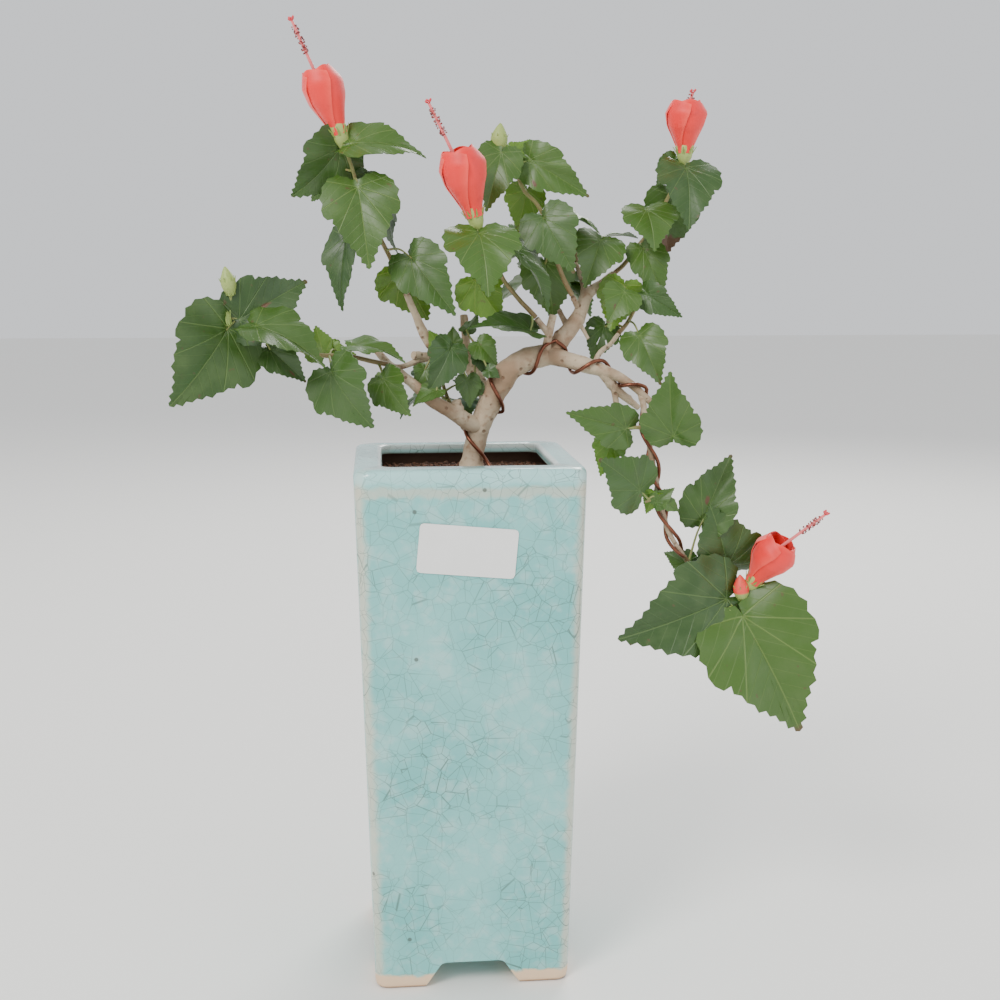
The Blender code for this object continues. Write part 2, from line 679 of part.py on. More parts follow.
def wind(axis, fronts, span, first_turn=0.0):
    """Points of a wire wound on an axis, which crosses the front at the given distances."""
    lengths = [0.0]
    for (a, _), (b, _) in zip(axis, axis[1:]):
        lengths.append(lengths[-1] + (b - a).length)
    points = []
    low, high, count = span
    for i in range(count + 1):
        s = (low + (high - low) * i / count) * MM
        n = max(k for k in range(len(lengths) - 1) if lengths[k] <= s)
        share = min(1.0, (s - lengths[n]) / (lengths[n + 1] - lengths[n]))
        place = axis[n][0].lerp(axis[n + 1][0], share)
        radius = axis[n][1] + (axis[n + 1][1] - axis[n][1]) * share
        tangent = (axis[min(n + 2, len(axis) - 1)][0] - axis[max(n - 1, 0)][0]).normalized()
        marks = [f * MM for f in fronts]
        k = min(sum(mark <= s for mark in marks), len(marks) - 1)
        k = max(k, 1)
        turn = first_turn + k - 1 + (s - marks[k - 1]) / (marks[k] - marks[k - 1])
        side = Vector((-tangent.z, 0, tangent.x)).normalized()
        front = side.cross(tangent).normalized()
        if front.y > 0:
            front = -front
        angle = math.tau * turn
        points.append(place + (front * math.cos(angle) + side * math.sin(angle)) * (radius + WIRE_RADIUS + 1.2 * GAP))
    return points


def bed(wire_path):
    """Cuts a groove, a gap wider than the wire, in any limb that the wire presses into."""
    groove = tube([(place, radius + GAP) for place, radius in wire_path], WIRE_SIDES)
    NEAR.append(groove)
    tree = BVHTree.FromPolygons(*groove)
    for name in LIMBS:
        wood = bpy.data.objects[name]
        faces = [tuple(p.vertices) for p in wood.data.polygons]
        if tree.overlap(BVHTree.FromPolygons([v.co for v in wood.data.vertices], faces)):
            combine(wood, [groove], "DIFFERENCE")


def build_wires():
    axes = [limb_path(name) for name in LIMBS] + [path for name in LIMBS for path in stub_paths(name)]
    room = WIRE_RADIUS + 1.3 * GAP
    bough = limb_path("trunk") + limb_path("cascade_bough")[2:]
    upper = wind(bough, WIRE_FRONTS, (2, 138, 58))
    start = Vector((15 * MM, -11 * MM, SOIL_TOP + GAP + 0.4 * MM))
    upper[:3] = [start, start.lerp(upper[3], 0.35), start.lerp(upper[3], 0.68)]
    shoot = limb_path("hanging_shoot")
    middle = wind(shoot, WIRE_SHOOT_FRONTS, (14, 93, 26), 0.0)
    lower = wind(shoot, WIRE_LOWER_FRONTS, (12, 92, 26), 0.0)
    main = upper + middle
    main = [clear_point(point, axes, room) for point in main]
    for _ in range(2):
        main = [main[0]] + [(a + 2 * b + c) / 4 for a, b, c in zip(main, main[1:], main[2:])] + [main[-1]]
        main = [main[0]] + [clear_point(point, axes, room) for point in main[1:]]
    wire = add_object("training_wire", tube([(point, WIRE_RADIUS) for point in main], WIRE_SIDES), "wire")
    bed([(point, WIRE_RADIUS) for point in main])
    take(wire)
    axes.append([(point, WIRE_RADIUS) for point in main])
    second = [clear_point(point, axes, room) for point in lower]
    for _ in range(2):
        second = [second[0]] + [(a + 2 * b + c) / 4 for a, b, c in zip(second, second[1:], second[2:])] + [second[-1]]
        second = [clear_point(point, axes, room) for point in second]
    wire = add_object("lower_wire", tube([(point, WIRE_RADIUS) for point in second], WIRE_SIDES), "wire")
    bed([(point, WIRE_RADIUS) for point in second])
    take(wire)


def ladder(edge, rib):
    """Triangles between one side of a leaf and its midrib, each a list of (along, index)."""
    faces, n = [], 0
    for (_, a), (y, b) in zip(edge, edge[1:]):
        faces.append((a, b, rib[n][1]))
        while n + 1 < len(rib) and y > rib[n + 1][0] - 0.25 and b != edge[-1][1]:
            faces.append((b, rib[n + 1][1], rib[n][1]))
            n += 1
    return faces


def blade(hub, along, face, roll, length, wide, rng, extra=0.0):
    """A folded leaf as a closed solid, bowed over the line from the notch at its hub to its tip."""
    normal = (face - along * face.dot(along)).normalized()
    normal = Matrix.Rotation(math.radians(roll), 3, along) @ normal
    side = along.cross(normal)
    bow = rng.uniform(*LEAF_BOW)
    fold = rng.uniform(*LEAF_FOLD)
    thick = max(LEAF_THICK, length * LEAF_THIN_RATIO) + extra

    def spot(x, y):
        rise = fold * abs(x) - 0.3 * x * x + bow * 4 * y * (1 - y)
        return hub + (side * (x * wide) + along * y + normal * rise) * length

    fine = length > SMALL_LEAF
    half = [(x, y) for x, y, detail in LEAF_HALF if fine or not detail]
    rib = [(0.0, y) for y in (MIDRIB if fine else MIDRIB[:2])]
    outline = half + [(-x, y) for x, y in reversed(half[1:-1])]
    flat = [spot(x, y) for x, y in outline + rib]
    count, total = len(outline), len(outline) + len(rib)
    last = len(half) - 1
    faces = []
    for flip in (False, True):
        edge = [(half[k][1], k if not flip or k in (0, last) else count - k) for k in range(last + 1)]
        strip = ladder(edge, [(y, count + k) for k, (_, y) in enumerate(rib)])
        faces += [tuple(reversed(f)) for f in strip] if flip else strip
    verts = [p + normal * thick / 2 for p in flat] + [p - normal * thick / 2 for p in flat]
    under = [tuple(v + total for v in reversed(f)) for f in faces]
    rim = [(k, (k + 1) % count, (k + 1) % count + total, k + total) for k in range(count)]
    return verts, faces + under + rim


def stalk(start, hub, along, extra=0.0):
    tip = hub + along * 1.2 * MM
    radius = STALK_RADIUS + extra
    path = [(start, radius), (tip, radius * 0.9)]
    if (hub - start).length > LONG_STALK:
        path.insert(1, (start.lerp(hub, 0.55) + UP * 0.12 * (hub - start).length, radius))
    return tube(path, STALK_SIDES)


def point_on(path, share):
    lengths = [0.0]
    for (a, _), (b, _) in zip(path, path[1:]):
        lengths.append(lengths[-1] + (b - a).length)
    s = share * lengths[-1]
    n = max(k for k in range(len(lengths) - 1) if lengths[k] <= s + 1e-9)
    return path[n][0].lerp(path[n + 1][0], min(1.0, (s - lengths[n]) / (lengths[n + 1] - lengths[n])))


def fill_rows(count, size, first):
    """Leaves by the golden angle round a stem, blades hanging outwards."""
    for k in range(count):
        share = 0.22 + 0.78 * k / max(1, count - 1)
        turn = first + GOLDEN * k
        out = Vector((math.cos(turn), math.sin(turn) + 0.25, 0.0)).normalized()
        length = size * (1.0 - 0.25 * abs(share - 0.6))
        yield share, (out + UP * 0.55).normalized(), 10.0, (out - UP * 0.75).normalized(), out + UP, length, 0.0, 1.0


def build_spray(name):
    rng = random.Random(SEED + sum(map(ord, name)))
    stem, rows = SPRAYS[name]
    low, high = STEM_RADIUS
    last = len(stem) - 1
    knots = [(x * MM, y * MM, z * MM, low + (high - low) * n / last) for n, (x, y, z) in enumerate(stem)]
    path = smooth(knots, 1)
    stem_solid = tube(path, STEM_SIDES)
    core = add_object(name, stem_solid, "leaf")
    for around in NEAR:
        if BVHTree.FromPolygons(*stem_solid).overlap(BVHTree.FromPolygons(*around)):
            combine(core, [around], "DIFFERENCE")
    plan = []
    for share, s_bearing, s_lean, reach, bearing, lean, length, roll, wide in rows:
        plan.append((share, heading(s_bearing, s_lean), reach, heading(bearing, lean), FRONT, length, roll, wide))
    if name in FILL:
        plan += fill_rows(*FILL[name])
    solids = []
    for n, (share, out, reach, along, face, length, roll, wide) in enumerate(plan):
        node = point_on(path, share)
        hub = node + out * reach * MM
        leaf_seed = rng.random()
        for nudge in NUDGES:
            place = hub + Vector((0, -nudge * MM, 0))
            shape = (along, face, roll, length * MM, wide)
            swept = blade(place, *shape, random.Random(leaf_seed), 2.2 * GAP)
            if is_clear(swept) and is_clear(stalk(node, place, along, GAP)):
                solids.append(blade(place, *shape, random.Random(leaf_seed)))
                solids.append(stalk(node, place, along))
                break
        else:
            SKIPPED.append((name, n, [t for t, o in TAKEN if BVHTree.FromPolygons(*swept).overlap(o)]))
    for owner, base, bearing, lean, size, wide, bend, out in BLOOMS:
        if owner == name:
            axis = heading(bearing, lean)
            foot = Vector(base) * MM
            rings = [(d * size * MM, r * wide * MM) for d, r in BLOOM_RINGS]
            solids.append(lathe(foot - axis * 0.6 * MM, axis, rings, 8))
            mouth = BLOOM_MOUTH * size
            column = [(COLUMN_FROM * size * MM, COLUMN_RINGS[0][1] * MM)]
            column += [((mouth + d * out) * MM, r * MM) for d, r in COLUMN_RINGS]
            solids.append(lathe(foot, axis, column, 5, bend, COLUMN_FROM * MM))
            if (foot - path[-1][0]).length > 1.0 * MM:
                solids.append(tube([(path[-1][0], 0.9 * MM), (foot + axis * 1.5 * MM, 1.1 * MM)], STEM_SIDES))
    for owner, start, base, bearing, length, radius in BUDS:
        if owner == name:
            axis = heading(bearing, 5)
            foot = Vector(base) * MM
            rings = [(d * length * MM, r * radius * MM) for d, r in BUD_RINGS]
            solids.append(lathe(foot, axis, rings, 6))
            solids.append(tube([(Vector(start) * MM, 0.8 * MM), (foot + axis * 1.5 * MM, 0.9 * MM)], 4))
    combine(core, solids, "UNION")
    take(core)


def settle():
    """Moves everything so that the origin is the bottom centre of the bounding box."""
    low, high = Vector((9, 9, 9)), Vector((-9, -9, -9))
    nodes = [obj for obj in bpy.data.objects if not obj.hide_render]
    for obj in nodes:
        for vertex in obj.data.vertices:
            for k in range(3):
                low[k] = min(low[k], vertex.co[k])
                high[k] = max(high[k], vertex.co[k])
    shift = Vector(((low.x + high.x) / 2, (low.y + high.y) / 2, low.z))
    for obj in nodes:
        obj.data.transform(Matrix.Translation(-shift))


for old in list(bpy.data.objects):
    bpy.data.objects.remove(old)
build_pot()
build_soil()
build_label()
build_limbs()
build_wires()
for spray in SPRAYS:
    build_spray(spray)
settle()
for row in SKIPPED:
    print("SKIPPED", row)
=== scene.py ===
"""Looks of the wax mallow bonsai: bark, glaze, wire, leaves, blooms and light for the finished parts."""

import json
import math
import random

import bmesh
import bpy
from mathutils import Matrix, Vector, noise
from mathutils.bvhtree import BVHTree

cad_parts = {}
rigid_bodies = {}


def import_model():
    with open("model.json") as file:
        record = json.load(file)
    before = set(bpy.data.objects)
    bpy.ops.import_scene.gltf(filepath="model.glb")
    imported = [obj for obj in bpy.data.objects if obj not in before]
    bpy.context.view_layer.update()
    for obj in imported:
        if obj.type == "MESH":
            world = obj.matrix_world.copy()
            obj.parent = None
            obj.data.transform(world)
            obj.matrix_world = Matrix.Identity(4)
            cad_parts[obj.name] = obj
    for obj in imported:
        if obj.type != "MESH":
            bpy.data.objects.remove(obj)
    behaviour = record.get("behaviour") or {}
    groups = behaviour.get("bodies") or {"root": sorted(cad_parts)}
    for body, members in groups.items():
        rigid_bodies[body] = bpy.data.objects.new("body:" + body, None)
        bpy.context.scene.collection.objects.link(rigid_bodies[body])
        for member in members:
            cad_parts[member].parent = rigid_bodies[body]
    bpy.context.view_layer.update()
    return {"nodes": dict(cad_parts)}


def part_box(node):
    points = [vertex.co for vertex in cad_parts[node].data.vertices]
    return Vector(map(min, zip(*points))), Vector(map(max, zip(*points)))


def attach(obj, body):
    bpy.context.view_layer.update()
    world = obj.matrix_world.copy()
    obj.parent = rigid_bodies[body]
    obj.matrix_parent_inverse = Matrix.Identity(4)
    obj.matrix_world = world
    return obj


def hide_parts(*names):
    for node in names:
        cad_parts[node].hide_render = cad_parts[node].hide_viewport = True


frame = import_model()
POT_LOW, POT_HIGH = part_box("pot")
MOVE = Vector(((POT_LOW.x + POT_HIGH.x) / 2, (POT_LOW.y + POT_HIGH.y) / 2, POT_LOW.z))

MM = 0.001
SEED = 11
GAP = 0.3 * MM

SOIL_TOP = 272 * MM

THICK_LIMBS = ("trunk", "right_bough", "cascade_bough")
SMOOTH_LIMBS = ("trunk", "cascade_bough")
STALK_SIDES = 3
WIRE_RADIUS = 1.0 * MM
STEM_RADIUS = (1.35 * MM, 0.85 * MM)
STALK_RADIUS = 0.65 * MM
LONG_STALK = 10 * MM
STALK_PAST = 1.2 * MM
LEAF_THICK = 0.5 * MM
LEAF_THIN_RATIO = 0.011
LEAF_ROOM = 2.2 * GAP
LEAF_BOW = (0.06, 0.12)
LEAF_FOLD = (0.22, 0.34)

# Half outline of a leaf, in leaf lengths: (across, along) from the notch at the stalk to the tip.
# A small leaf keeps the rows that end in 0.
LEAF_HALF = (
    (0.0, -0.03, 0), (0.17, -0.15, 0), (0.37, -0.08, 0), (0.45, 0.16, 0),
    (0.40, 0.44, 0), (0.18, 0.70, 0), (0.06, 0.88, 1), (0.0, 1.0, 0),
)
MIDRIB = (0.10, 0.42, 0.74)
SMALL_LEAF = 20 * MM
FRONT = Vector((0.0, -1.0, 0.35)).normalized()
UP = Vector((0.0, 0.0, 1.0))
GOLDEN = math.radians(137.5)

# Each limb: the points of its axis in mm with the radius at each, and the short cut stubs it carries
LIMBS = {
    "trunk": (
        ((4, -2, 272.3, 7.6), (4.5, -2, 279, 5.9), (8, -3, 295, 5.7), (13, -5, 308, 5.9)),
        ((18, -6, 318, 6.4), (24, -8, 327, 6.3), (33, -8, 332.5, 6.1), (44, -8, 335, 6.0)),
    ),
    "left_bough": (
        ((9, -2.5, 295, 4.2), (1, -9, 300, 4.5), (-9, -15, 306.5, 3.9), (-18, -17, 312, 3.3)),
        ((-27, -14, 320, 2.7), (-36, -8, 327, 2.3), (-42, 0, 332, 2.1), (-47, 5, 338, 1.8)),
    ),
    "inner_left_bough": (
        ((16, -4, 308, 4.4), (12, 2, 314, 4.2), (7, 8, 323, 3.7), (2, 11, 330, 3.4), (-8, 8, 335, 3.2)),
        ((-16, 4, 339, 3.0), (-21, 2.5, 346, 2.6), (-25, 2.5, 355, 2.1), (-30, 5, 367, 1.7)),
    ),
    "left_arm": (
        ((-13, 4, 336, 2.4), (-18, 0, 334, 2.4), (-23, -3, 333, 2.5), (-27, -6, 331, 1.6)),
        ((-34, -9, 329, 1.4), (-40, -10, 330, 1.3)),
    ),
    "right_bough": (
        ((46, -7, 333, 5.0), (52, -4, 342, 4.9), (58, 0, 349, 4.4), (63, 4, 356, 3.8), (68, 9, 366, 3.2)),
        ((77, 15, 372, 2.5), (84, 20, 377, 2.1)),
    ),
    "cascade_bough": (
        ((43, -8, 335, 4.9), (53, -12, 332.5, 4.5), (63, -17, 330, 4.1), (72, -20, 327, 3.4)),
        ((80, -22, 324, 2.6), (87, -25, 319.5, 2.2), (93, -27, 314, 2.0), (98, -28, 309.5, 1.9)),
    ),
    "hanging_shoot": (
        ((91, -26, 315, 1.6), (92, -30, 309, 1.6), (93, -34, 298, 1.6), (96, -35, 281, 1.5)),
        ((100, -34, 264, 1.4), (103, -33, 252, 1.4), (107, -32, 241, 1.3), (115, -30, 229, 1.2)),
    ),
    "rise_twig": (
        ((68, -17, 327, 1.7), (70, -12, 333, 1.5), (74, -6, 337, 1.3), (79, -2, 340, 1.2)),
        ((84, 3, 345, 1.1),),
    ),
    "fork_stub": (
        ((43, -9, 334, 3.0), (43.5, -11, 341, 2.4), (45, -12, 349, 2.2), (46.5, -12.5, 356, 2.0)),
        (),
    ),
}
# Stubs and spurs fused to a limb: name of the limb, start, end and the two radii, in mm
STUBS = (
    ("left_bough", (-3, -12, 303), (-5, -15, 311), 3.2, 2.6),
    ("inner_left_bough", (3, 11, 329), (1.5, 19, 355), 2.7, 2.1),
    ("inner_left_bough", (-11, 7, 336), (-10, 0, 339.5), 1.7, 1.3),
    ("inner_left_bough", (-12, 6, 336), (-16, -1, 343), 1.6, 1.3),
    ("inner_left_bough", (5, 10, 326), (6, 4, 334), 1.9, 1.3),
    ("left_arm", (-20, -1.5, 333.5), (-27, -7, 335), 2.6, 2.2),
    ("right_bough", (66, 8, 362), (67, 13, 371), 2.4, 1.9),
    ("right_bough", (67, 13, 370.5), (64, 24, 383), 1.8, 1.3),
    ("right_bough", (62, 4, 353), (67, -1, 343), 1.3, 0.9),
    ("right_bough", (63, 5, 358), (58.5, -1, 365), 1.8, 1.4),
    ("right_bough", (57, 2, 348), (53, 14, 358), 2.0, 1.4),
    ("cascade_bough", (72, -20, 326), (80, -19, 316), 3.0, 2.6),
    ("cascade_bough", (80, -19, 316.5), (92, -17, 307), 2.6, 1.5),
    ("cascade_bough", (78, -20, 318), (80, -21, 305), 1.8, 1.3),
    ("hanging_shoot", (93.5, -35, 296), (91, -38, 298.5), 1.3, 1.0),
    ("hanging_shoot", (100, -34, 264), (97.5, -37, 262.5), 1.3, 1.0),
    ("fork_stub", (45, -11.5, 345), (37.5, -14, 354), 2.0, 1.5),
    ("trunk", (6, 0, 288), (-1, 12, 297), 2.4, 1.6),
)

# Training wires: distances along the wood, in mm, where one crosses the front, then where it starts
# and ends, and its steps
WIRE_UPPER = ((14, 46, 76, 105, 130), (2, 138, 58))
WIRE_SHOOT = ((30, 72), (14, 93, 26))
WIRE_LOWER = ((51, 93), (12, 92, 26))

# Each spray: stem points in mm, then leaf rows. A row is the share of the stem where the stalk leaves
# it, the stalk's bearing, lean and length, the blade's bearing, lean and length, its roll and its
# width as a share of the usual. Bearings turn anticlockwise from +X as seen from the front, a lean is
# towards the viewer, all in degrees, and lengths are in mm. A roll of 180 shows the underside.
SPRAYS = {
    "left_spray": (
        ((-41, -10, 330.5), (-48, -12, 332), (-61, -14, 335), (-78, -16, 336), (-91, -17, 341),
         (-105, -18, 347), (-115, -19, 351), (-120, -20, 356)),
        (
            (0.96, 226, 43, 7, 232, 9, 49, -42, 1.10),
            (0.99, 339, 2, 4, 30, -20, 42, 12, 0.85),
            (0.85, 39, 73, 13, 330, 10, 41, -40, 0.92),
            (0.80, 295, -35, 11, 317, 0, 26, 0, 0.80),
            (0.36, 278, 54, 13, 307, 6, 36, 38, 1.08),
            (0.06, 289, 35, 10, 307, 16, 25, 38, 1.00),
            (0.42, 334, -73, 8, 105, -17, 17, 180, 1.20),
            (0.36, 46, -71, 10, 345, -34, 14, 180, 1.00),
            (0.24, 73, 20, 6, 344, 8, 29, -50, 0.80),
            (0.06, 290, -42, 13, 235, -28, 11, 180, 1.00),
        ),
    ),
    "upper_left_spray": (
        ((-30.5, 5, 368), (-38, 6, 385), (-41, 6, 391), (-48, 4, 405), (-54, 2, 420), (-58, 0, 433),
         (-61, 0, 441)),
        (
            (0.95, 76, 34, 7, 350, -6, 40, -28, 0.72),
            (0.97, 127, -23, 5, 223, -9, 37, -46, 0.98),
            (0.80, 286, 65, 12, 277, 13, 43, 0, 0.97),
            (0.50, 209, 19, 16, 267, 4, 39, 40, 0.62),
            (0.62, 19, -22, 14, 279, -8, 30, 70, 0.90),
            (0.85, 188, -45, 14, 227, -18, 19, 0, 1.00),
            (0.75, 54, -14, 9, 252, -21, 11, 0, 1.10),
            (0.30, 343, 47, 19, 307, 12, 39, 12, 0.80),
            (0.12, 52, -44, 6, 296, -7, 31, 180, 1.20),
        ),
    ),
    "centre_left_spray": (
        ((37, -14.2, 354.8), (33, -15, 359), (29, -15, 363), (24, -15, 369), (20, -16, 374), (17, -18, 380),
         (13, -22, 388), (9, -26, 394), (6, -28, 399)),
        (
            (0.95, 157, 76, 7, 275, 29, 37, -5, 1.10),
            (0.55, 200, -23, 14, 304, -4, 28, 180, 1.05),
            (0.05, 270, 21, 10, 178, 10, 35, 45, 0.75),
            (0.66, 36, 12, 11, 300, 6, 38, -58, 0.85),
        ),
    ),
    "centre_top_spray": (
        ((58, -1.5, 366), (54, -3, 373), (50, -4, 382), (45, -4, 395), (42, -4, 407), (38, -4, 414),
         (32, -4, 420), (27, -5, 430), (23, -5, 437), (19, -5, 440)),
        (
            (0.90, 137, 36, 9, 254, 11, 32, 0, 0.80),
            (0.88, 21, 7, 9, 329, 6, 37, 18, 0.68),
            (0.95, 31, -52, 9, 37, -28, 13, 180, 1.00),
            (0.72, 14, -72, 8, 259, -10, 23, 180, 1.00),
            (0.52, 208, 81, 8, 298, 14, 34, 14, 0.94),
            (0.52, 4, -27, 9, 338, -5, 25, -60, 1.00),
            (0.30, 241, -58, 12, 280, -8, 31, 0, 1.00),
            (0.12, 15, -85, 13, 284, -4, 27, 0, 1.00),
        ),
    ),
    "leader_spray": (
        ((64, 24.5, 384), (64, 27, 390), (68, 28, 396), (74, 29, 400)),
        (
            (0.95, 298, 76, 19, 248, 20, 29, 0, 1.05),
            (1.00, 320, 54, 9, 1, -11, 21, -70, 1.00),
        ),
    ),
    "right_top_spray": (
        ((85, 20.5, 378), (91, 23, 383), (99, 25, 393), (106, 24, 402), (113, 20, 417), (118, 16, 428),
         (121, 14, 436)),
        (
            (0.93, 77, 82, 11, 268, 23, 36, -4, 1.02),
            (0.60, 176, 51, 17, 277, 24, 25, -6, 1.30),
            (0.75, 354, -58, 4, 266, -7, 33, 0, 1.00),
            (0.30, 272, 80, 11, 290, 7, 31, 5, 0.75),
            (0.97, 127, -26, 6, 233, -7, 17, 0, 0.90),
        ),
    ),
    "rise_spray": (
        ((84.5, 3.5, 345.6), (90, 8, 351), (95, 10, 359), (100, 10, 364)),
        (
            (1.00, 129, 71, 13, 327, 10, 24, 26, 0.72),
            (0.70, 133, 48, 19, 238, 18, 20, 0, 1.15),
            (0.40, 288, 68, 20, 292, 16, 29, 10, 0.90),
            (0.20, 174, -31, 11, 250, 0, 21, 0, 1.00),
            (0.80, 131, -7, 15, 254, 4, 26, 180, 1.00),
        ),
    ),
    "cascade_upper_spray": (
        ((90.6, -38.3, 298.8), (88, -39, 299), (85, -39.5, 299)),
        (
            (1.00, 188, 7, 4, 164, 7, 34, -16, 0.72),
            (0.60, 209, -20, 15, 255, -11, 21, 180, 0.90),
            (0.10, 345, 20, 16, 96, 7, 34, -30, 0.98),
        ),
    ),
    "cascade_low_spray": (
        ((97.2, -37.4, 262.3), (95, -38, 261), (92, -38, 260)),
        (
            (0.60, 136, 31, 10, 142, 6, 28, 0, 1.22),
            (0.30, 303, 26, 3, 41, 9, 13, 0, 0.85),
            (0.10, 341, 5, 6, 325, -12, 9, 0, 0.90),
            (0.90, 42, 0, 6, 249, -15, 12, 180, 1.10),
        ),
    ),
    "cascade_tip_spray": (
        ((115.4, -29.9, 228.5), (125, -28, 215), (133, -28, 207), (141, -29, 203), (148, -30, 201)),
        (
            (0.10, 68, -13, 24, 65, -9, 39, -14, 0.82),
            (0.70, 72, -15, 17, 109, 6, 37, 0, 1.20),
            (0.85, 139, 48, 7, 198, 5, 63, -14, 0.92),
            (1.00, 239, 61, 9, 297, 7, 71, 4, 0.95),
            (0.10, 307, -55, 7, 153, -22, 16, 0, 1.00),
        ),
    ),
    "inner_left_spray": (
        ((-10, -0.4, 339.8), (-10, -4, 340), (-12, -9, 339)),
        (
            (0.50, 355, 75, 11, 242, 11, 27, -22, 0.88),
            (1.00, 231, 4, 14, 242, 0, 11, 0, 1.00),
            (0.40, 304, 11, 21, 274, 0, 16, 0, 0.90),
            (1.00, 263, 27, 24, 214, 0, 16, 40, 1.00),
            (0.20, 198, -68, 7, 125, -10, 11, 180, 1.00),
            (0.10, 350, -52, 7, 89, -11, 11, 0, 1.00),
        ),
    ),
    "inner_right_spray": (
        ((6, 3.6, 334.4), (6, 1, 338), (7, -3, 341)),
        (
            (1.00, 25, 84, 3, 310, 7, 16, 0, 1.00),
            (0.70, 307, 26, 5, 282, -4, 13, 0, 1.00),
            (0.50, 296, 42, 16, 328, 7, 8, 0, 1.10),
            (0.80, 129, -8, 10, 52, 0, 12, 60, 1.00),
            (0.20, 270, 33, 19, 249, -10, 12, 0, 1.00),
        ),
    ),
    "back_spray": (
        ((52.9, 14.3, 358.3), (50, 24, 366), (46, 34, 378), (43, 42, 392), (42, 46, 404)),
        (),
    ),
    "back_low_spray": (
        ((-1.2, 12.3, 297.3), (-6, 22, 306), (-10, 30, 318), (-12, 35, 331)),
        (),
    ),
}
# A leaf that would touch something is tried again this much nearer to the viewer or, below 0,
# further away, in mm
NUDGES = (0, 2, -2, 4, -4, 6, -6, 9, -9, 12, 15)
# Leaves grown by rule round a stem that the photograph hides: count, size in mm, first turn
FILL = {
    "back_spray": (9, 31, 0.4),
    "back_low_spray": (6, 25, 1.1),
}
# Blooms: spray, base of the calyx in mm, bearing and lean of its axis, length, width, bend of the
# column of stamens in degrees and the share of it that stands out of the mouth
BLOOMS = (
    ("upper_left_spray", (-61, 0, 441.5), 110, 5, 1.0, 1.0, 4, 0.95),
    ("centre_left_spray", (6, -28, 399), 106, 8, 1.0, 1.1, 11, 0.92),
    ("right_top_spray", (121, 14, 436), 91, 5, 0.8, 1.02, -24, 0.12),
    ("cascade_tip_spray", (150, -31, 210), 62, 20, 0.84, 1.06, -18, 0.9),
)
# Buds: spray, start of the stalk, base of the bud, bearing, length and radius in mm
BUDS = (
    ("left_spray", (-120, -20, 355), (-119, -22, 366), 100, 15, 3.8),
    ("left_spray", (-119, -20, 352), (-121, -23, 351), 108, 11, 3.0),
    ("centre_top_spray", (19, -5, 438), (18, -5, 439), 85, 15, 4.3),
    ("cascade_tip_spray", (147, -30, 201), (147, -33, 204), 98, 15, 4.2),
    ("cascade_tip_spray", (148, -30, 201), (143, -34, 198), 150, 8, 3.0),
)
# Calyx and corolla: distance along the axis and radius, in mm
BLOOM_RINGS = ((0, 1.4), (5, 4.2), (11, 4.5), (18, 7.2), (25, 10.2), (33, 11.3), (41, 9.6))
BLOOM_MOUTH = 41.5
# The column starts inside the bloom and reaches this far past its mouth, in mm
COLUMN_FROM = 28
COLUMN_REACH = 26
# Bud: shares of its length and of its radius
BUD_RINGS = ((0.0, 0.35), (0.25, 0.9), (0.55, 1.0), (0.85, 0.5), (1.0, 0.12))
# Half of a fine leaf's edge, with its side lobe, as shares of its length
FINE_HALF = (
    (0, -0.03), (0.08, -0.11), (0.17, -0.15), (0.29, -0.14), (0.39, -0.07), (0.45, 0.05), (0.46, 0.18),
    (0.472, 0.345), (0.358, 0.395), (0.325, 0.49), (0.268, 0.60), (0.20, 0.69), (0.14, 0.77), (0.08, 0.86),
    (0.03, 0.94), (0, 1.0),
)
LEAF_CENTRE = (0.0, 0.14)
LEAF_RINGS = (0.25, 0.5, 0.76, 1.0)
TOOTH = 0.03
RIPPLE = 0.030
# Leaves with holes: spray and row, counted from 0, then (ring, place round the edge) of each hole
HOLES = {("rise_spray", 3): ((1, 12), (1, 40), (0, 27))}
BURNT = ("right_top_spray", 2)
RED_BUD = 3
# Marks on twigs, calyxes and columns: age or tone, then how red
CUP_MARK, BRACT_MARK, TEETH_MARK = (0.75, 0.0, 0.0), (0.25, 0.0, 0.0), (0.6, 0.0, 0.0)
BUD_BRACT_MARK, COLUMN_MARK, STIGMA_MARK, YOUNG_MARK = (0.3, 0, 0), (0.2, 0, 0), (1, 0, 0), (0.9, 0, 0)
# Calyx cup: distance along the axis and radius, in mm
CUP_RINGS = ((-0.6, 1.0), (1, 2.6), (4, 3.9), (8, 4.5), (12, 4.9), (12.5, 4.5), (9, 4.0))
PETALS = 5
PETAL_ROWS, PETAL_COLS = 16, 13
# A petal starts this far up, its corners dip at the mouth, and it wraps and twists, in mm and radians
PETAL_FROM, PETAL_DIP, PETAL_WRAP, PETAL_TWIST = 7, 3.5, 2.5, 0.8
SHEET_THICK = 0.4 * MM
LEAF_SHEET, LEAF_SHEET_RATIO = 0.34 * MM, 0.0105
FINE_STALK_RADII = (0.75 * MM, 0.55 * MM, 0.5 * MM)
# Share of leaves with a brown spot, its size, and where the burnt tip starts, in leaf lengths
SICK_SHARE, SORE_SIZE, BURN_FROM = 0.3, 0.09, 0.62
BACKLIT = 0.75
# Bark: knots on a limb, their height, the cosine where one begins, its reach and fall along the limb,
# then height and fineness of the two roughnesses
BARK_KNOTS, KNOT_SIZE, KNOT_ARC, KNOT_REACH, KNOT_FALL = 5, (0.12, 0.3), 0.4, 1.2, 4
BARK_COARSE, BARK_FINE = (0.10, 95), (0.06, 260)
COLUMN_STEPS = 14
STIGMAS, STIGMA_TURN, STIGMA_SPREAD = 6, 1.05, 1.3
# Leaflets round a bloom, teeth on its cup and leaflets round a bud: count, length, width and spread
BRACTS, TEETH, BUD_BRACTS = (8, 10.5, 0.75, 4.2), (5, 6, 1.5, 3.2), (7, 0.62, 0.6, 0.55)
TEETH_FROM = 9
